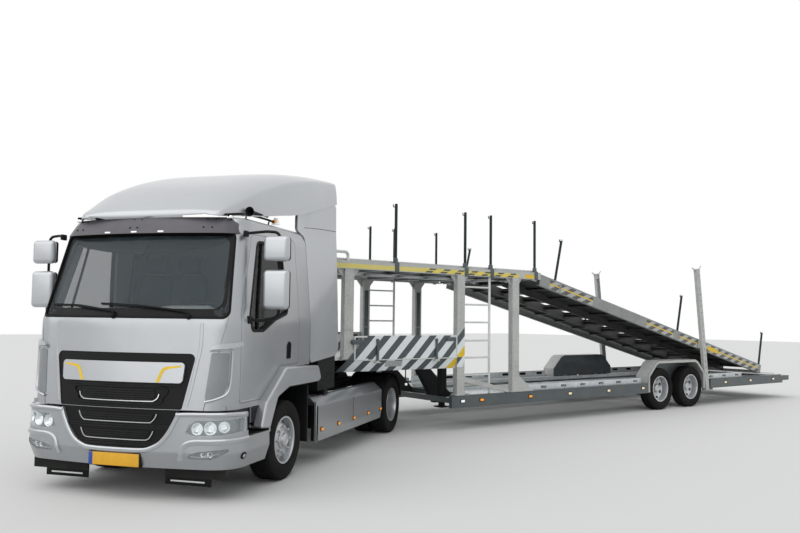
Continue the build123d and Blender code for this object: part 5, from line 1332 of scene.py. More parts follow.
# Wheels. A tyre is a bulged wall and a crown with grooves; a rim is a dished disc with hand holes.
wheels = {
    "front": {"radius": 0.394, "width": 0.248, "disc": 0.078, "dish": -0.05, "hub": 0.09, "hubOut": 0.05,
        "nuts": 8, "drum": 0.07},
    "rear": {"radius": 0.394, "width": 0.248, "disc": -0.126, "dish": 0.06, "hub": 0.105, "hubOut": 0.12,
        "nuts": 8, "drum": 0.07},
    "trailer": {"radius": 0.384, "width": 0.215, "disc": -0.05, "dish": 0.035, "hub": 0.09, "hubOut": 0.08,
        "nuts": 6, "drum": 0.02},
    "frontAt": (0, 0.94, 0.394), "rearAt": (-3.55, 0.986, 0.394),
    "trailerAt": ((-6.663, 1.13, 0.384), (-7.644, 1.13, 0.384)),
    "bead": 0.222, "grooves": 4, "grooveDepth": 0.008, "grooveHalf": 0.005, "blocks": 60, "notch": 0.006,
    "holes": 8, "holeCircle": 0.178, "holeSize": (0.034, 0.019), "nutCircle": 0.128, "twinGap": -0.276,
}


def holeMesh(x, z, wide, high, near, far, count):
    # an oval plug along y that cuts a hole
    return loftMesh("hole", [[(x + wide * math.cos(t), y, z + high * math.sin(t))
        for t in np.linspace(0, 2 * math.pi, count, endpoint=False)] for y in (near, far)])


def tyreMesh(name, size, y0=0.0):
    # around: steps that make the shoulder blocks; across: bead, bulged wall, shoulder, crown with grooves
    radius, half = size["radius"], size["width"] / 2
    bead, middle = wheels["bead"], (size["radius"] + wheels["bead"]) / 2
    wall = [(0.36 * 2 * half, bead - 0.002), (0.39 * 2 * half, bead), (0.4 * 2 * half, bead + 0.012),
        (0.465 * 2 * half, bead + 0.032), (0.497 * 2 * half, middle - 0.02), (0.5 * 2 * half, middle),
        (0.498 * 2 * half, middle + 0.02), (0.488 * 2 * half, radius - 0.045),
        (0.47 * 2 * half, radius - 0.022), (0.44 * 2 * half, radius - 0.007)]
    crown = []
    edge = 0.4 * 2 * half
    stops = np.linspace(-edge, edge, wheels["grooves"] + 2)
    depth, w = wheels["grooveDepth"], wheels["grooveHalf"]
    crown.append((edge, radius - 0.0015))
    for y in stops[1:-1][::-1]:
        crown += [(y + w, radius), (y + 0.6 * w, radius - depth), (y - 0.6 * w, radius - depth),
            (y - w, radius)]
    crown.append((-edge, radius - 0.0015))
    profile = np.array(wall + crown + [(-a, b) for a, b in wall[::-1]])
    count = wheels["blocks"] * 4
    a = np.linspace(0, 2 * math.pi, count, endpoint=False)
    r = np.repeat(profile[None, :, 1], count, 0)
    shoulder = (np.abs(profile[:, 0]) > 0.3 * 2 * half) & (profile[:, 1] > radius - 0.03)
    notch = (np.arange(count) % 4 < 1)[:, None] & shoulder[None]
    r = r - wheels["notch"] * notch
    points = np.stack([r * np.sin(a)[:, None], np.repeat(profile[None, :, 0], count, 0) + y0,
        r * np.cos(a)[:, None]], axis=-1)
    return rawMesh(name, points.reshape(-1, 3), gridFaces(count, len(profile), True, True))


def rimMesh(name, size, y0=0.0, flip=1):
    # barrel with rolled lips, dish with eight hand holes, hub with cap and a ring of nuts
    bead, half = wheels["bead"], 0.39 * size["width"]
    inner = bead - 0.009
    barrel = [(half + 0.012, bead + 0.014), (half + 0.015, bead + 0.012), (half + 0.013, bead - 0.004),
        (half, inner), (0.5 * half, inner - 0.004), (-0.5 * half, inner - 0.004), (-half, inner),
        (-half - 0.013, bead - 0.004), (-half - 0.015, bead + 0.012), (-half - 0.012, bead + 0.014),
        (-half - 0.004, bead + 0.001), (-half + 0.01, bead - 0.0005), (half - 0.01, bead - 0.0005),
        (half + 0.004, bead + 0.001)]
    parts = [turned("barrel", barrel, 72)]
    disc, dish, hub = size["disc"], size["dish"], size["hub"]
    face = [(disc, 0.03), (disc, 0.145), (disc + 0.1 * dish, 0.155), (disc + 0.8 * dish, inner - 0.016),
        (disc + dish, inner - 0.003), (disc + dish - 0.011, inner - 0.002),
        (disc + 0.8 * dish - 0.011, inner - 0.018), (disc + 0.1 * dish - 0.01, 0.153), (disc - 0.01, 0.143),
        (disc - 0.01, 0.03)]
    plate = turned("disc", face, 96)
    tidyMesh(plate)
    holes = []
    wide, high = wheels["holeSize"]
    for k in range(wheels["holes"]):
        hole = holeMesh(0, wheels["holeCircle"], wide, high, -0.25, 0.25, 20)
        hole.data.transform(Matrix.Rotation(math.radians(360 / wheels["holes"] * (k + 0.5)), 4, "Y"))
        holes.append(hole)
    cutter = joined("cut", holes)
    tidyMesh(cutter)
    combine(plate, cutter, "DIFFERENCE")
    parts.append(plate)
    out = disc + size["hubOut"]
    cap = [(disc - 0.01, 0), (disc - 0.01, hub), (disc + 0.012, hub), (disc + 0.018, hub - 0.006),
        (out - 0.03, hub * 0.8), (out - 0.006, hub * 0.72), (out, hub * 0.6), (out, hub * 0.45),
        (out - 0.004, hub * 0.42), (out - 0.004, 0)]
    parts.append(turned("hub", cap, 48))
    for k in range(size["nuts"]):
        a = 2 * math.pi * k / size["nuts"]
        nut = turned("nut", [(disc, 0.0), (disc, 0.018), (disc + 0.008, 0.018), (disc + 0.01, 0.0135),
            (disc + 0.026, 0.0135), (disc + 0.029, 0.010), (disc + 0.036, 0.008), (disc + 0.036, 0)], 6)
        parts.append(moved(nut, wheels["nutCircle"] * math.sin(a), 0, wheels["nutCircle"] * math.cos(a)))
    rim = joined(name, parts)
    if flip < 0:
        rim.data.transform(Matrix.Rotation(math.pi, 4, "Z"))
    rim.data.transform(Matrix.Translation((0, y0, 0)))
    return rim


def wheelSet(kind, body, tyreNode, rimNode, place, spot, side, twin=False):
    size = wheels[kind]
    x, y, z = spot
    stand = place @ Matrix.Translation((x, side * y, z)) @ Matrix.Rotation(0 if side > 0 else math.pi, 4, "Z")
    tyre = tyreMesh(tyreNode + "Shape", size)
    rim = rimMesh(rimNode + "Shape", size)
    if twin:
        gap = wheels["twinGap"]
        tyre = joined(tyreNode + "Shape", [tyre, tyreMesh("inner", size, gap)])
        rim = joined(rimNode + "Shape", [rim, rimMesh("inner", {**size, "hubOut": 0.03, "nuts": 0}, gap, -1)])
    # the brake drum closes the wheel behind its holes
    back = size["disc"] - size["drum"]
    drum = turned(tyreNode + "Drum", [(back, 0.125), (back, 0.194), (back - 0.006, 0.2), (back - 0.03, 0.2),
        (back - 0.03, 0.195), (back - 0.01, 0.188), (back - 0.008, 0.125)], 48)
    finishPiece(drum, "castIron", body, stand)
    finishPiece(tyre, "tyreRubber", body, stand, [tyreNode], 40, slot="tyre_rubber")
    finishPiece(rim, "wheelEnamel", body, stand, [rimNode], 35, slot="wheel_paint")


for side, name in ((1, "left"), (-1, "right")):
    wheelSet("front", "wheel_front_" + name, "tyre_front_" + name, "rim_front_" + name, tractorPlace,
        wheels["frontAt"], side)
    wheelSet("rear", "wheels_rear_" + name, "tyres_rear_" + name, "rims_rear_" + name, tractorPlace,
        wheels["rearAt"], side, True)
    for axle, spot in enumerate(wheels["trailerAt"], 1):
        label = "trailer_%d_%s" % (axle, name)
        wheelSet("trailer", "wheel_" + label, "tyre_" + label, "rim_" + label, trailerPlace, spot, side)
print("wheels made")


# Cab inside: dashboard with the driver's binnacle, steering wheel, padded seats on their boxes
inside = {
    "dashRear": 0.8, "dashLow": 1.235, "dashTop": 1.7, "dashHalf": 0.86,
    "wheelAt": (0.64, 0.45, 1.68), "wheelAxis": (-0.42, 0, 0.91), "wheelRadius": 0.2,
    "seats": (("driver", 0.45, 0.235, 1), ("mate", -0.42, 0.415, 2)),
}


def makeDash():
    # rings across the cab: the rear edge bulges to the driver, and a hood rises over the dials
    rows = {z: skinRow("cab", z, inset)[flatCount + 1:halfCount][::-1]
        for z, inset in ((1.5, 0.075), (1.68, 0.085))}
    rings = []
    for y in np.linspace(-inside["dashHalf"], inside["dashHalf"], 72):
        low, high = (float(np.interp(abs(y), rows[z][:, 1], rows[z][:, 0])) for z in (1.5, 1.68))
        hood = 0.5 * (math.tanh((y - 0.2) / 0.03) - math.tanh((y - 0.7) / 0.03))
        stack = 0.5 * (math.tanh((y + 0.2) / 0.05) - math.tanh((y - 0.2) / 0.05))
        rear, top = inside["dashRear"] + 0.02 - 0.015 * stack, inside["dashTop"] - 0.02 + 0.04 * hood
        low = max(low, rear + 0.1)
        high = min(max(high, rear + 0.09), low)
        rings.append([(rear + 0.05, y, inside["dashLow"]), (rear + 0.01, y, 1.4), (rear, y, 1.52),
            (rear + 0.012, y, top - 0.035), (rear + 0.03, y, top - 0.008), (rear + 0.05, y, top),
            (high - 0.03, y, top - 0.004 - 0.02 * hood), (high, y, 1.665), (low, y, 1.5),
            (low, y, inside["dashLow"])])
    dash = loftMesh("dashPanel", rings)
    onTractor(dash, "greyAbs", ["dashboard"], 50)
    details = [roundBox("dial", (0.795, 0.28, 1.54), (0.815, 0.62, 1.67), 0.006, 3),
        roundBox("radio", (0.785, -0.13, 1.44), (0.81, 0.13, 1.6), 0.006, 3)]
    for y in (-0.75, -0.45, -0.2, 0.8):
        details += [roundBox("vent", (0.812, y - 0.06, z), (0.828, y + 0.06, z + 0.008), 0.003, 2)
            for z in np.arange(1.55, 1.62, 0.014)]
    onTractor(joined("dashVents", details), "blackPolypropylene")


def makeSteeringWheel():
    axis = Vector(inside["wheelAxis"]).normalized()
    turn = axis.to_track_quat("Z", "Y").to_matrix().to_4x4()
    a = np.linspace(0, 2 * math.pi, 72, endpoint=False)
    radius = inside["wheelRadius"]
    rim = tube("rim", np.stack([radius * np.cos(a), radius * np.sin(a), 0 * a], axis=1), 0.015, 14,
        closed=True)
    parts = [rim, turned("hub", [(0.012, 0), (0.012, 0.05), (0.004, 0.066), (-0.02, 0.07), (-0.05, 0.045),
        (-0.3, 0.032), (-0.3, 0)], 40, "z")]
    for k in (0.15, 0.85, 1.5):
        reach = np.array([math.cos(k * math.pi), math.sin(k * math.pi), 0])
        parts.append(tube("spoke", [reach * 0.05, reach * 0.13 - (0, 0, 0.008), reach * radius], 0.014, 10,
            squash=0.45))
    wheel = joined("steeringWheelShape", parts)
    wheel.data.transform(Matrix.Translation(inside["wheelAt"]) @ turn)
    onTractor(wheel, "blackPolypropylene", ["dashboard"], 50)


def padMesh(name, size, crown, seams=(), power=0.28, count=44):
    # a pillow: superellipsoid whose exponent keeps it boxy, crowned on top, with grooves at the seams
    lat = np.linspace(-math.pi / 2, math.pi / 2, count // 2 + 1)[:, None]
    lon = np.linspace(0, 2 * math.pi, count * 2, endpoint=False)[None, :]

    def bent(v):
        return np.sign(v) * np.abs(v) ** power

    x = 0.5 * size[0] * bent(np.cos(lat)) * bent(np.cos(lon))
    y = 0.5 * size[1] * bent(np.cos(lat)) * bent(np.sin(lon))
    z = 0.5 * size[2] * bent(np.sin(lat)) + 0 * lon
    u, v = np.clip(2 * x / size[0], -1, 1), np.clip(2 * y / size[1], -1, 1)
    top = np.clip(z / (0.5 * size[2]), 0, 1)
    z = z + top * crown * ((1 - u ** 2) * (1 - v ** 2)) ** 0.6 - top * crown * 0.5
    for along, place, depth in seams:
        gap = (x if along == "x" else y) - place
        z = z - top * depth * np.exp(-(gap / 0.008) ** 2)
        # beside the seam the foam swells a little
        z = z + top * 0.4 * depth * np.exp(-((np.abs(gap) - 0.03) / 0.02) ** 2)
    points = np.stack([x, y, z], axis=-1)
    points[0], points[-1] = points[0].mean(0), points[-1].mean(0)
    return rawMesh(name, points.reshape(-1, 3), gridFaces(len(lat), count * 2, closeColumns=True))


def makeSeats():
    for name, middle, half, places in inside["seats"]:
        box = roundBox("box", (-0.09, middle - half + 0.03, 1.162), (0.38, middle + half - 0.03, 1.4), 0.03)
        rail = roundBox("rail", (-0.12, middle - half + 0.01, 1.395), (0.4, middle + half - 0.01, 1.425),
            0.012, 3)
        shell = roundBox("shell", (-0.235, middle - half + 0.012, 1.46), (-0.2, middle + half - 0.012, 2.0),
            0.016, 4)
        shell.data.transform(turnAbout((-0.2, 0, 1.46), -6, "Y"))
        onTractor(joined(name + "SeatBox", [box, rail, shell]), "blackPolypropylene", ["seats"])
        for k in range(places):
            width = 2 * half / places - 0.012
            y = middle - half + (k + 0.5) * 2 * half / places
            label = name + (str(k + 1) if places > 1 else "")
            cushion = padMesh(label + "Cushion", (0.53, width, 0.115), 0.03,
                [("y", -0.3 * width, 0.009), ("y", 0.3 * width, 0.009), ("x", 0.13, 0.006)])
            moved(cushion, 0.155, y, 1.485)
            back = padMesh(label + "Backrest", (0.56, width, 0.1), 0.03,
                [("y", -0.3 * width, 0.009), ("y", 0.3 * width, 0.009), ("x", 0.08, 0.006)])
            moved(moved(back, turn=("Y", 84)), -0.19, y, 1.785)
            rest = padMesh(label + "Headrest", (0.17, min(0.27, width * 0.7), 0.085), 0.015, power=0.4)
            moved(moved(rest, turn=("Y", 84)), -0.225, y, 2.165)
            stems = [tube("stem", [(-0.24, y + s, 2.0), (-0.235, y + s, 2.12)], 0.006, 8)
                for s in (-0.05, 0.05)]
            for pad in (cushion, back, rest):
                onTractor(pad, "seatWeave", ["seats"], 60)
            onTractor(joined(label + "HeadrestStems", stems), "brightSteel")
    # the engine hump between the seats
    hump = roundBox("engineHump", (-0.1, -0.02, 1.165), (0.55, 0.18, 1.3), 0.05, 4)
    onTractor(hump, "liningGrey")


makeDash()
makeSteeringWheel()
makeSeats()
print("cab inside fitted")


# Trailer sheets and sections, drawn from the kingpin
trailer = {
    "side": 1.263, "panel": (-1.59, 1.0), "panelTop": 1.387, "fold": 1.073, "foldIn": (1.21, 0.909),
    "stripe": 0.2714, "stripeAt": 0.014, "stripeDark": 0.13,
    "posts": (0.313, -1.665, -2.81), "postLength": 0.145, "postDepth": 0.09,
    "beam": (2.275, 2.385), "nose": 1.3, "hinge": -3.42,
    "stakes": (-0.465, -1.765, -2.293, -3.269), "stakeRadius": 0.021, "stakeHeight": 0.84,
    "slopeStakes": (-3.86, -7.45, -10.54), "slopeStakeHeight": 0.72,
    "deckSide": 1.16, "deckEnd": -10.59, "deckLow": 2.205,
    "lamps": ((-1.706, "lampWhite"), (-2.089, "amberLens"), (-3.14, "amberLens"), (-4.08, "paleAmber"),
        (-5.09, "paleAmber"), (-6.07, "paleAmber"), (-8.81, "paleAmber"), (-9.77, "paleAmber"),
        (-10.71, "paleAmber")),
    "lampHeight": 0.425, "rungs": (0.65, 0.793, 1.054, 1.306, 1.579, 1.843, 2.107), "ladder": -2.285,
}


def thickened(obj, thickness):
    # an open sheet becomes a closed wall
    work = bmesh.new()
    work.from_mesh(obj.data)
    bmesh.ops.recalc_face_normals(work, faces=work.faces)
    bmesh.ops.solidify(work, geom=work.faces[:], thickness=thickness)
    work.to_mesh(obj.data)
    work.free()
    return obj


def ribbedSheet(name, x0, x1, y0, y1, z, pitch=0.06, rise=0.012, slots=(), thickness=0.003):
    # across the deck: crown, slope, valley, slope, again and again; cells of the crowns left out are slots
    count = int(round((x1 - x0) / pitch))
    k = np.arange(count * 4 + 1)
    part = np.array([0.0, 0.4, 0.5, 0.9])[k % 4]
    x = np.minimum(x0 + (k // 4 + part) * (x1 - x0) / count, x1)
    height = z - rise * (k % 4 >= 2)
    y = np.array(sorted({y0, y1} | {e for slot in slots for e in slot}))
    points = np.zeros((len(x), len(y), 3))
    points[..., 0], points[..., 1], points[..., 2] = x[:, None], y[None], height[:, None]
    slotted = [any(abs(y[c] - a) < 1e-6 for a, b in slots) for c in range(len(y) - 1)]
    faces = [f for i, f in enumerate(gridFaces(len(x), len(y)))
        if not ((i // (len(y) - 1)) % 8 == 0 and slotted[i % (len(y) - 1)])]
    return thickened(rawMesh(name, points.reshape(-1, 3), faces), thickness)


def channel(name, axis, low, high, a, b, c, d, sheet, openTo):
    # a C section between corners (a, b) and (c, d), open towards openTo (-1 or 1) in the first coordinate
    near, far = (a, c) if openTo < 0 else (c, a)
    s = sheet if openTo < 0 else -sheet
    outline = [(near, b), (far, b), (far, d), (near, d), (near, d - sheet), (far - s, d - sheet),
        (far - s, b + sheet), (near, b + sheet)]
    return prism(name, outline, axis, low, high)


def makePanels():
    x0, x1 = trailer["panel"]
    side, top, fold = trailer["side"], trailer["panelTop"], trailer["fold"]
    inY, low = trailer["foldIn"]
    section = [(side, top), (side, fold), (inY, low), (inY - 0.02, low), (inY - 0.02, low + 0.004),
        (inY - 0.003, low + 0.004), (side - 0.004, fold), (side - 0.004, top - 0.004),
        (side - 0.035, top - 0.004), (side - 0.035, top)]
    panel = prism("stripedPanelLeft", section, "x", x0, x1, [0.006, 0.012, 0.003, 0, 0, 0, 0.01, 0.003, 0, 0],
        3)
    # in front the sheet is cut off along the edge of its first dark stripe
    front = trailer["stripeAt"] + top
    tidyMesh(panel)
    combine(panel, prism("cut", [(front - 1.5, 1.5), (1.2, 1.5), (1.2, 0.8), (front - 0.8, 0.8)], "y", 1.1,
        1.4), "DIFFERENCE")
    trailerPair(panel, "panelStripes", standsFor=["side_panels"])
    # the film goes on over the post, and its upper edge follows a stripe; one stripe is yellow
    postRear = trailer["posts"][1] - trailer["postLength"] / 2
    start = trailer["stripeAt"] - 6 * trailer["stripe"]
    film = prism("postFilmLeft", [(x0 + 0.0005, fold - 0.15), (x0 + 0.0005, top - 0.03), (x0 - 0.02, top),
        (postRear, top + start - postRear), (postRear, top - 0.36), (postRear + 0.04, fold - 0.15)], "y",
        side, side + 0.0012)
    trailerPair(film, "panelStripes")
    seventh = trailer["stripeAt"] - 7 * trailer["stripe"]
    width = trailer["stripeDark"]
    high = prism("yellowStripeLeft", [(postRear, top + seventh - postRear), (seventh + top - fold, fold),
        (seventh + top - fold - width, fold), (postRear, top + seventh - width - postRear)], "y",
        side + 0.0012, side + 0.002)
    lean = (side - inY) / (fold - low)
    corners = ((seventh + top - fold, fold), (seventh + top - low - 0.004, low + 0.004),
        (seventh + top - low - 0.004 - width, low + 0.004), (seventh + top - fold - width, fold))
    points = [(x, side + 0.0012 - lean * (fold - z) + out, z) for out in (0.0, 0.0012) for x, z in corners]
    lowPiece = rawMesh("yellowFoldLeft", points, [(0, 1, 2, 3), (4, 5, 6, 7), (0, 1, 5, 4), (1, 2, 6, 5),
        (2, 3, 7, 6), (3, 0, 4, 7)])
    trailerPair(high, "yellowFilm")
    trailerPair(lowPiece, "yellowFilm")
    # white tube brackets at both ends, joined by a thin bar along the fold
    ends = [bentPath([(0.027, 1.262, 1.372), (0.222, 1.262, 1.372), (0.222, 1.262, 1.06)], 0.02),
        bentPath([(-1.465, 1.262, 1.37), (-1.578, 1.262, 1.37), (-1.578, 1.262, 1.062)], 0.02)]
    bars = [tube("bar", path, 0.013, 12, up=(0, 1, 0)) for path in ends]
    bars.append(tube("bar", [(0.222, 1.262, 1.06), (-0.6, 1.262, 1.061), (-1.578, 1.262, 1.062)], 0.007, 8))
    trailerPair(joined("panelTubesLeft", bars), "whiteTube")
    # two dark pegs with a ring at the top and a dished foot, latches near the ends
    for k, x in enumerate((-0.147, -1.19)):
        peg = turned("peg", [(1.04, 0), (1.04, 0.021), (1.3, 0.021), (1.318, 0.026), (1.335, 0.026),
            (1.345, 0.018), (1.345, 0)], 20, "z")
        foot = turned("foot", [(1.02, 0), (1.02, 0.058), (1.026, 0.06), (1.036, 0.03), (1.05, 0.024),
            (1.05, 0)], 28, "z")
        for part in (peg, foot):
            part.data.transform(Matrix.Translation((x, side + 0.012, 0)) @ Matrix.Scale(0.62, 4, (0, 1, 0)))
        trailerPair(peg, "slateEnamel")
        foot.name = "pegFoot%dLeft" % k
        peg.name = "panelPeg%dLeft" % k
        trailerPair(foot, "galvanisedPost")
    latches = [roundBox("latch", (0.14, side - 0.004, 1.272), (0.28, side + 0.022, 1.335), 0.011, 4),
        roundBox("latch", (-1.56, side - 0.004, 1.305), (-1.385, side + 0.018, 1.36), 0.01, 4)]
    trailerPair(joined("panelLatchLeft", latches), "slateEnamel")
    plate = prism("blankPlateLeft", rect(-0.585, -0.297, -0.032, 0.05), "y", 0, 0.002)
    plate.data.transform(Matrix.Translation((0, side - lean * (fold - 0.995) + 0.001, 0.995))
        @ Matrix.Rotation(-math.atan(lean), 4, "X"))
    trailerPair(plate, "galvanisedSheet")
    # hinge brackets under the fold, the platform's ribbed floor and the lamp on its arm at the neck
    hinges = [roundBox("hinge", (x - 0.03, side - 0.01, fold - 0.012), (x + 0.03, side + 0.004, fold + 0.01),
        0.003, 2) for x in (0.68, 0.03, -0.62, -1.26)]
    trailerPair(joined("panelHingesLeft", hinges), "whiteTube")
    floor = ribbedSheet("platformFloor", -1.3, 1.0, -1.25, 1.25, 1.0755, 0.08, 0.006)
    finishPiece(floor, "wornTrackPaintedSheen", standsFor=["side_panels"])
    lamp = [roundBox("arm", (-0.712, 1.17, 0.69), (-0.698, 1.182, 0.93), 0.003, 2)]
    trailerPair(joined("neckLampArmLeft", lamp), "chassisEnamel")
    trailerPair(roundBox("neckLampLeft", (-0.725, 1.18, 0.69), (-0.687, 1.198, 0.722), 0.008, 4), "lampWhite")


def makePostDetails():
    # base plates with bolts, knee plates under the beam and the weld at mid height
    side, length = trailer["side"], trailer["postLength"]
    inY = side - trailer["postDepth"]
    for k, x in enumerate(trailer["posts"]):
        base = 1.077 if k == 0 else 0.511
        parts = [roundBox("plate", (x - 0.1, inY - 0.02, base), (x + 0.1, side - 0.001, base + 0.012), 0.004,
            2)]
        for dx in (-0.086, 0.086):
            for y in (inY - 0.006, side - 0.018):
                parts.append(moved(turned("bolt", [(0, 0), (0, 0.011), (0.01, 0.011), (0.012, 0.006),
                    (0.018, 0.006), (0.018, 0)], 6, "z"), x + dx, y, base + 0.012))
        for s in (1, -1):
            knee = prism("knee", [(x + s * length / 2, 2.275), (x + s * (length / 2 + 0.11), 2.275),
                (x + s * (length / 2 + 0.012), 2.16), (x + s * length / 2, 2.16)], "y", inY + 0.04,
                inY + 0.046)
            parts.append(knee)
        parts.append(roundBox("weld", (x - length / 2 - 0.002, inY - 0.002, 1.468),
            (x + length / 2 + 0.002, side + 0.001, 1.476), 0.001, 2))
        trailerPair(joined("postPlates%dLeft" % k, parts), "galvanisedPost")
        # a dark strip of shadow where the section is open towards the inside
        lip = roundBox("postMouth%dLeft" % k, (x - 0.04, inY - 0.0015, base + 0.1),
            (x + 0.04, inY + 0.001, 2.1), 0.0004, 2)
        trailerPair(lip, "slateEnamel")


def makeRailDetails():
    side = trailer["side"]
    z = trailer["lampHeight"]
    for k, (x, look) in enumerate(trailer["lamps"]):
        base = roundBox("railLampBase%dLeft" % k, (x - 0.045, side - 0.001, z - 0.028),
            (x + 0.045, side + 0.004, z + 0.028), 0.002, 2)
        lens = roundBox("railLamp%dLeft" % k, (x - 0.034, side + 0.002, z - 0.019),
            (x + 0.034, side + 0.014, z + 0.019), 0.006, 4)
        trailerPair(base, "rubberSeal")
        trailerPair(lens, look)
    # lips that make the rail a channel
    lips = []
    for x0, x1 in ((-6.235, -1.495), (-11.06, -8.28)):
        for z in (0.331, 0.498):
            lips.append(roundBox("lip", (x0 + 0.001, side - 0.002, z), (x1 - 0.001, side + 0.003, z + 0.011),
                0.002, 2))
    trailerPair(joined("railLipsLeft", lips), "slateEnamel")
    # strap hooks in the slots of the track's edge, with a dark box in each slot as painted shade of its
    # hollow
    hooks, slotShades = [], []
    for x0, x1 in ((-6.16, -2.66), (-9.6, -8.16)):
        for i in range(int((x1 - x0 - 0.2) // 0.485) + 1):
            x = x0 + 0.18 + i * 0.485
            slotShades.append(roundBox("well", (x - 0.075, 1.145, 0.53), (x + 0.075, 1.158, 0.574), 0.003, 2))
            hooks.append(tube("hook", bentPath([(x - 0.05, 1.172, 0.536), (x - 0.02, 1.176, 0.566),
                (x + 0.02, 1.176, 0.54), (x + 0.05, 1.172, 0.566)], 0.012), 0.0055, 8))
    trailerPair(joined("slotWellsLeft", slotShades), "rubberSeal")
    trailerPair(joined("strapHooksLeft", hooks), "galvanisedPost")
    # raised ribs along the wheel tracks
    ribs = [roundBox("rib", (x0, y, 0.486), (x1, y + 0.012, 0.493), 0.003, 2)
        for x0, x1 in ((-6.16, -2.66), (-10.9, -8.16)) for y in np.arange(0.5, 1.14, 0.105)]
    joints = [roundBox("joint", (x, 0.43, 0.4875), (x + 0.008, 1.155, 0.4895), 0.0008, 2)
        for x in (-3.5, -4.6, -5.7, -8.9, -9.8)]
    trailerPair(joined("trackRibsLeft", ribs), "wornTrackPaintedSheen")
    trailerPair(joined("trackJointsLeft", joints), "slateEnamel")


def toothedStrip(name, x0, x1, y, low, high, teeth):
    # a strip on edge whose upper rim steps up and down by 12 mm
    x = np.linspace(x0, x1, teeth * 4)
    rim = high + 0.012 * (np.arange(teeth * 4) % 4 >= 2)
    rows = [np.stack([x, 0 * x + y, z], axis=1) for z in (0 * x + low, rim)]
    return thickened(rawMesh(name, np.concatenate(rows), gridFaces(2, teeth * 4)), 0.003)


def makeUpperDeck():
    side, (low, high) = trailer["side"], trailer["beam"]
    x0, x1 = trailer["hinge"] + 0.045, trailer["nose"]
    beam = channel("upperBeamLeft", "x", x0, x1, side - 0.07, low, side, high, 0.007, -1)
    trailerPair(beam, "galvanisedPost", standsFor=["upper_deck"])
    inner = channel("upperInnerBeamLeft", "x", x0, x1, 0.3, 2.29, 0.34, 2.344, 0.005, 1)
    trailerPair(inner, "galvanisedSheet")
    slots = [(0.42, 0.48), (0.56, 0.62), (1.02, 1.08), (1.11, 1.17)]
    floor = ribbedSheet("upperFloorLeft", x0, x1 - 0.03, 0.336, side - 0.068, 2.352, 0.06, 0.01, slots)
    trailerPair(floor, "galvanisedSheet")
    # toothed edge strip that stands up along the beam
    trailerPair(toothedStrip("edgeStripLeft", x0, x1 - 0.05, side - 0.068, high - 0.01, high + 0.026, 150),
        "galvanisedPost")
    crosses = []
    for x in (x0 + 0.03, -2.84, -2.27, -1.695, -1.03, -0.38, 0.283, 0.87, 1.24):
        crosses.append(channel("cross", "y", -side + 0.07, side - 0.07, x, 2.28, x + 0.06, 2.341, 0.005, 1))
    finishPiece(joined("upperCrossMembers", crosses), "galvanisedSheet", standsFor=["upper_deck"])
    ears = []
    for y0, y1 in ((1.085, 1.115), (-1.115, -1.085), (0.345, 0.375), (-0.375, -0.345)):
        ears.append(prism("ear", [(-3.34, 2.265), (-3.34, 2.344), (-3.45, 2.33), (-3.455, 2.268)], "y", y0,
            y1, [0.005, 0.005, 0.025, 0.025], 5))
    finishPiece(joined("hingeEars", ears), "galvanisedPost", standsFor=["upper_deck"])
    # yellow film on the beam: plain and faded in front, with black bars behind, fresh at the end
    for name, a, b, look in (("fadedFilm", 1.25, -0.93, "fadedYellow"),
            ("barredFilm", -0.93, -2.88, "hazardTape"), ("freshFilm", -3.02, -3.22, "yellowFilm")):
        piece = prism(name + "Left", rect(a, b, 2.284, 2.346), "y", side, side + 0.001)
        trailerPair(piece, look)
    line = prism("filmLineLeft", rect(-0.93, -2.88, 2.309, 2.323), "y", side + 0.001, side + 0.0016)
    trailerPair(line, "fadedYellow")
    finishPiece(roundBox("nosePlate", (1.285, -1.19, 2.2), (1.3, 1.19, 2.4), 0.004, 2), "galvanisedSheet")


def stakeMesh(name, x, y, low, high):
    # a tube with a domed end and a loop hook near the top
    r = trailer["stakeRadius"]
    post = turned(name, [(low, 0), (low, r), (high - 0.006, r), (high - 0.001, 0.6 * r), (high, 0)], 20, "z")
    hook = tube("hook", bentPath([(0, 0, high - 0.05), (0.05, 0, high - 0.05), (0.05, 0, high - 0.015)],
        0.012), 0.007, 8)
    return moved(joined(name, [post, hook]), x, y)


def makeStakes():
    side, high = trailer["side"], trailer["beam"][1]
    y = side - 0.035
    for k, x in enumerate(trailer["stakes"]):
        trailerPair(stakeMesh("stake%dLeft" % k, x, y, high, high + trailer["stakeHeight"]),
            "greenPowderCoat", standsFor=["deck_rails"])
        socket = roundBox("socket", (x - 0.036, side - 0.001, 2.262), (x + 0.036, side + 0.012, 2.4), 0.005,
            3)
        collar = turned("collar", [(high, 0.0215), (high, 0.034), (high + 0.07, 0.034),
            (high + 0.078, 0.0215)], 24, "z")
        trailerPair(joined("stakeSocket%dLeft" % k, [socket, moved(collar, x, y)]), "slateEnamel")
    for k, x in enumerate(trailer["slopeStakes"]):
        top = high + trailer["slopeStakeHeight"]
        stake = stakeMesh("slopeStake%dLeft" % k, x, trailer["deckSide"] - 0.03, high, top)
        deckPair(stake, "greenPowderCoat", ["stakes_tilting"])
        cap = moved(turned("slopeStakeCap%dLeft" % k, [(top - 0.03, 0.022), (top - 0.03, 0.026),
            (top - 0.004, 0.026), (top, 0.018), (top, 0), (top - 0.006, 0), (top - 0.006, 0.022)], 20, "z"),
            x, trailer["deckSide"] - 0.03)
        deckPair(cap, "whiteTube")
    rail = bentPath([(0.33, 1.228, 2.385), (0.33, 1.228, 2.5), (1.265, 1.228, 2.5), (1.265, -1.228, 2.5),
        (0.33, -1.228, 2.5), (0.33, -1.228, 2.385)], 0.09, 10)
    finishPiece(tube("noseRail", rail, 0.021, 16), "whiteTube", standsFor=["deck_rails"], angle=60)


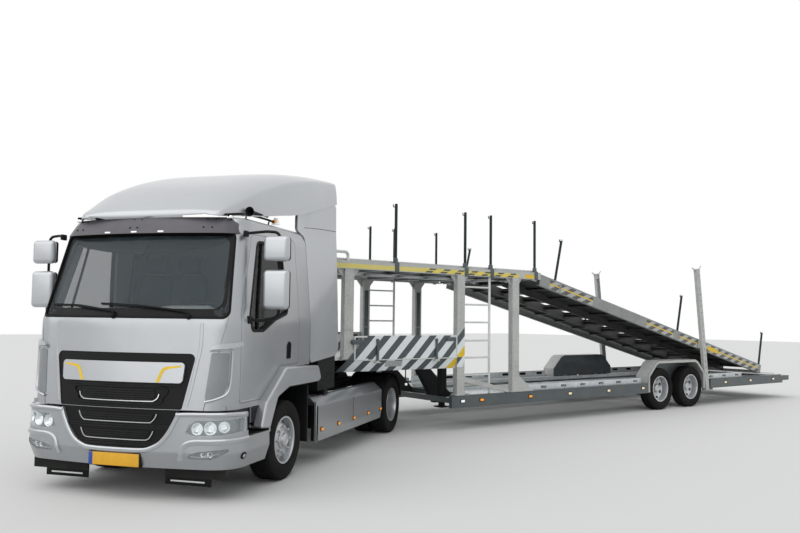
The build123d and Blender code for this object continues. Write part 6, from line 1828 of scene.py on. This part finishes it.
def makeLadders():
    x = trailer["ladder"]
    stile = roundBox("stile", (x - 0.02, 1.203, 0.511), (x + 0.02, 1.221, 2.275), 0.005, 3)
    rungs = [tube("rung", [(x, 1.212, z), (x + 0.25, 1.212, z), (-1.738, 1.212, z)], 0.0125, 12)
        for z in trailer["rungs"]]
    treads = [roundBox("tread", (x + 0.03, 1.2, z + 0.004), (-1.75, 1.224, z + 0.014), 0.004, 2)
        for z in trailer["rungs"]]
    trailerPair(joined("ladderLeft", [stile] + rungs + treads), "whiteTube", standsFor=["deck_rails"])


def makeSlope():
    # the rear deck, drawn level: side channels, inner channels, ribs across, ribbed floor with slots
    side, end, low, high = trailer["deckSide"], trailer["deckEnd"], trailer["deckLow"], trailer["beam"][1]
    front = trailer["hinge"] - 0.06
    onDeck = ("tilting_deck", deckPlace, ["tilting_deck"])
    beam = channel("slopeBeamLeft", "x", end, front, side - 0.06, low, side, high, 0.007, -1)
    deckPair(beam, "deckBeam", ["tilting_deck"])
    inner = channel("slopeInnerBeamLeft", "x", end, front, 0.3, low, 0.34, 2.344, 0.006, 1)
    deckPair(inner, "deckPaintedShade")
    slots = [(0.92, 0.98), (1.01, 1.07)]
    floor = ribbedSheet("slopeFloorLeft", end, front, 0.336, side - 0.056, 2.352, 0.06, 0.012, slots)
    deckPair(floor, "deckPaintedShade", ["tilting_deck"])
    crosses = []
    for i in range(13):
        x = trailer["hinge"] - 0.09 - i * 0.5828
        crosses.append(channel("cross", "y", -side + 0.06, side - 0.06, x - 0.025, 2.3, x + 0.025, 2.338,
            0.005, 1))
        crosses.append(channel("tie", "y", -0.3, 0.3, x - 0.045, 2.235, x + 0.045, 2.299, 0.005, 1))
    finishPiece(joined("slopeCrossMembers", crosses), "deckPaintedShade", *onDeck)
    deckPair(toothedStrip("slopeStripLeft", end, front - 0.05, side - 0.058, high - 0.01, high + 0.014, 240),
        "deckBeam")
    # the film: a yellow line with slanting bars over and under it, in stretches
    for k, (a, b) in enumerate(((-3.72, -3.95), (-4.01, -4.85), (-6.42, -7.3), (-7.5, -8.12),
            (-8.42, -10.5))):
        bars = prism("slopeFilm%dLeft" % k, rect(a, b, 2.212, 2.362), "y", side, side + 0.001)
        deckPair(bars, "slopeTape")
        line = prism("slopeLine%dLeft" % k, rect(a, b, 2.284, 2.304), "y", side + 0.001, side + 0.0018)
        deckPair(line, "yellowFilm")
    patch = prism("slopePatchLeft", rect(-8.5, -8.88, 2.25, 2.33), "y", side + 0.0018, side + 0.0026)
    deckPair(patch, "yellowFilm")
    parts = []
    for y0, y1 in ((1.05, 1.08), (-1.08, -1.05), (0.38, 0.41), (-0.41, -0.38)):
        parts.append(prism("lug", [(-3.485, 2.262), (-3.485, 2.344), (-3.395, 2.33), (-3.39, 2.275)], "y", y0,
            y1, [0.005, 0.005, 0.025, 0.025], 5))
    for y0, y1 in ((1.045, 1.122), (-1.122, -1.045), (0.338, 0.415), (-0.415, -0.338)):
        parts.append(moved(turned("pin", [(y0, 0), (y0, 0.019), (y1 - 0.002, 0.019), (y1, 0.015), (y1, 0)],
            24, "y"), -3.42, 0, 2.3))
    for y0, y1 in ((side, 1.186), (-1.186, -side)):
        parts.append(roundBox("bracket", (-8.285, y0, 2.215), (-8.145, y1, 2.375), 0.006, 3))
    parts.append(roundBox("endBar", (end, -side + 0.06, low), (end + 0.05, side - 0.06, 2.26), 0.006, 3))
    for y in (-1.04, -0.36, 0.36, 1.04):
        parts.append(prism("flapLug", [(-10.636, 2.206), (-10.636, 2.25), (end + 0.01, 2.25),
            (end + 0.01, 2.206)], "y", y - 0.008, y + 0.008, 0.015, 5))
    finishPiece(joined("slopeFittings", parts), "galvanisedPost", *onDeck)


def makeMasts():
    # an open channel post with a row of holes, a pulley head and the roller block at the deck
    x, _, foot = stands["mastFoot"]
    section = [(x + 0.06, 1.192), (x + 0.06, 1.252), (x - 0.06, 1.252), (x - 0.06, 1.192), (x - 0.052, 1.192),
        (x - 0.052, 1.2445), (x + 0.052, 1.2445), (x + 0.052, 1.192)]
    post = prism("mastLeft", section, "z", foot - 0.03, 2.65)
    holes = [holeMesh(x, z, 0.012, 0.02, 1.2, 1.3, 12) for z in np.arange(0.62, 2.55, 0.12)]
    cutter = joined("cut", holes)
    tidyMesh(cutter)
    combine(post, cutter, "DIFFERENCE")
    head = roundBox("head", (x - 0.068, 1.188, 2.648), (x + 0.068, 1.256, 2.67), 0.004, 2)
    cheek = roundBox("cheek", (x - 0.045, 1.2, 2.56), (x + 0.045, 1.206, 2.668), 0.003, 2)
    pulley = turned("wheel", [(1.207, 0), (1.207, 0.034), (1.213, 0.026), (1.221, 0.026), (1.227, 0.034),
        (1.227, 0)], 28, "y")
    pin = turned("pin", [(1.19, 0), (1.19, 0.018), (1.256, 0.018), (1.256, 0)], 20, "y")
    arm = tube("arm", bentPath([(x - 0.15, 1.222, 2.73), (x - 0.09, 1.222, 2.68), (x, 1.222, 2.675),
        (x + 0.09, 1.222, 2.68), (x + 0.15, 1.222, 2.72)], 0.03), 0.011, 12)
    parts = [post, head, cheek, moved(pulley, x, 0, 2.615), moved(pin, x, 0, foot), arm]
    bothSides(joined("mastLeft", parts), "galvanisedPost", "masts", mastPlace, ["masts"])


def makeGuards():
    side = trailer["side"]
    arch = [(-6.235, 0.34), (-6.235, 0.64), (-6.47, 0.865), (-6.56, 0.905), (-7.76, 0.905), (-7.85, 0.865),
        (-8.075, 0.65), (-8.075, 0.34)]
    inner = [(p[0], 0.34 if i in (0, 7) else p[1]) for i, p in enumerate(grown(arch, -0.004))]
    skin = prism("trailerGuardLeft", arch + inner[::-1], "y", 1.0, side)
    deep = [(p[0], 0.34 if i in (0, 7) else p[1]) for i, p in enumerate(grown(arch, -0.045))]
    flange = prism("flange", arch + deep[::-1], "y", side - 0.004, side)
    bead = tube("bead", [(a, side - 0.001, b) for a, b in bentPath(deep, 0.02)], 0.006, 8, up=(0, 1, 0))
    trailerPair(joined("trailerGuardLeft", [skin, flange, bead]), "galvanisedPost",
        standsFor=["trailer_mudguards"])
    wall = prism("guardWallLeft", [(-6.235, 0.5)] + arch[1:7] + [(-8.075, 0.5)], "y", 0.988, 1.0)
    trailerPair(wall, "slateEnamel", standsFor=["trailer_mudguards"])


def makeTail():
    # lamp clusters on the tail bar: red and amber lenses in a dark tray
    trailerPair(roundBox("tailTray0Left", (-11.4, 0.86, 0.385), (-11.388, 1.2, 0.475), 0.005, 3),
        "rubberSeal")
    for name, a, b, look in (("tailRed", 0.88, 0.99, "redLens"), ("tailAmber", 1.0, 1.08, "amberLens"),
            ("tailStop", 1.09, 1.18, "redLens")):
        trailerPair(roundBox(name + "Left", (-11.403, a, 0.395), (-11.39, b, 0.465), 0.006, 4), look)


makePanels()
makePostDetails()
makeRailDetails()
print("lower trailer dressed")
makeUpperDeck()
makeStakes()
makeLadders()
makeSlope()
makeMasts()
makeGuards()
makeTail()
print("upper trailer dressed")


# The CAD pieces that stay take their finishes
nodeLooks = {
    "castIron": "fifth_wheel tractor_springs engine_block front_axle rear_axle trailer_axles knuckle_left "
                "knuckle_right",
    "chassisEnamel": "tractor_frame tanks neck_frame neck_drop landing_legs",
    "blackPolypropylene": "tractor_mudguards",
    "slateEnamel": "trailer_frame",
    "panelStripes": "side_panels",
    "galvanisedPost": "deck_posts masts trailer_mudguards",
    "wornTrackPaintedSheen": "wheel_tracks",
    "galvanisedSheet": "upper_deck loading_flap",
    "deckPaintedShade": "tilting_deck",
    "greenPowderCoat": "deck_rails stakes_tilting",
    "silverLacquer": "side_skirts front_bumper",
    "silverHood": "side_collars roof_fairing",
    "smokedAcrylic": "sun_visor",
    "silverMoulding": "wheel_flares mirrors_left mirrors_right",
    "lampReflector": "headlamps",
    "greyAbs": "dashboard",
    "seatWeave": "seats",
}
lookOf = {name: look for look, names in nodeLooks.items() for name in names.split()}
for name, obj in frame["nodes"].items():
    look = lookOf.get(name) or ("tyreRubber" if "tyre" in name else "wheelEnamel")
    for slot in obj.material_slots:
        slot.material = looks[look]
print("nodes given materials")


# Stage: a pale plain floor, a pale sky that looks white to the eye and in gloss, and one soft sun
stage = {"floor": "#d9d8d5", "sky": 0.75, "sunAt": (14, 4, 16), "sunPower": 1.5, "sunSize": 1.6}


def makeStage():
    floor = rawMesh("studioFloor", [(-60, -60, 0), (60, -60, 0), (60, 60, 0), (-60, 60, 0)], [(0, 1, 2, 3)])
    floor.location = (0, 0, -0.001)
    material, tree, shader = newMaterial("studioPaper")
    shader.inputs["Base Color"].default_value = fromHex(stage["floor"])
    shader.inputs["Roughness"].default_value = 0.9
    floor.data.materials.append(material)
    floor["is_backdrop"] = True
    world = bpy.data.worlds.new("studioSky")
    scene.world = world
    world.use_nodes = True
    tree = world.node_tree
    back = tree.nodes["Background"]
    path = addNode(tree, "ShaderNodeLightPath", {})
    eye = reckon(tree, "MAXIMUM", path.outputs["Is Camera Ray"], path.outputs["Is Transmission Ray"])
    seen = reckon(tree, "MAXIMUM", eye, path.outputs["Is Glossy Ray"])
    plain = addNode(tree, "ShaderNodeBackground", {"Color": fromHex("#ffffff"), "Strength": 1.0})
    back.inputs["Color"].default_value = fromHex("#eef2f6")
    back.inputs["Strength"].default_value = stage["sky"]
    mix = addNode(tree, "ShaderNodeMixShader", {}, {0: seen, 1: back.outputs[0], 2: plain.outputs[0]})
    tree.links.new(mix.outputs[0], tree.nodes["World Output"].inputs["Surface"])
    sun = bpy.data.lights.new("softSun", "SUN")
    sun.energy = stage["sunPower"]
    sun.angle = stage["sunSize"]
    lamp = bpy.data.objects.new("softSun", sun)
    aim = Vector(stage["sunAt"]).to_track_quat("Z", "Y").to_matrix().to_4x4()
    lamp.matrix_world = Matrix.Translation(stage["sunAt"]) @ aim
    scene.collection.objects.link(lamp)


makeStage()
print("stage ready")
low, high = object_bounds()
sizeLines += [list(low), list(high)]
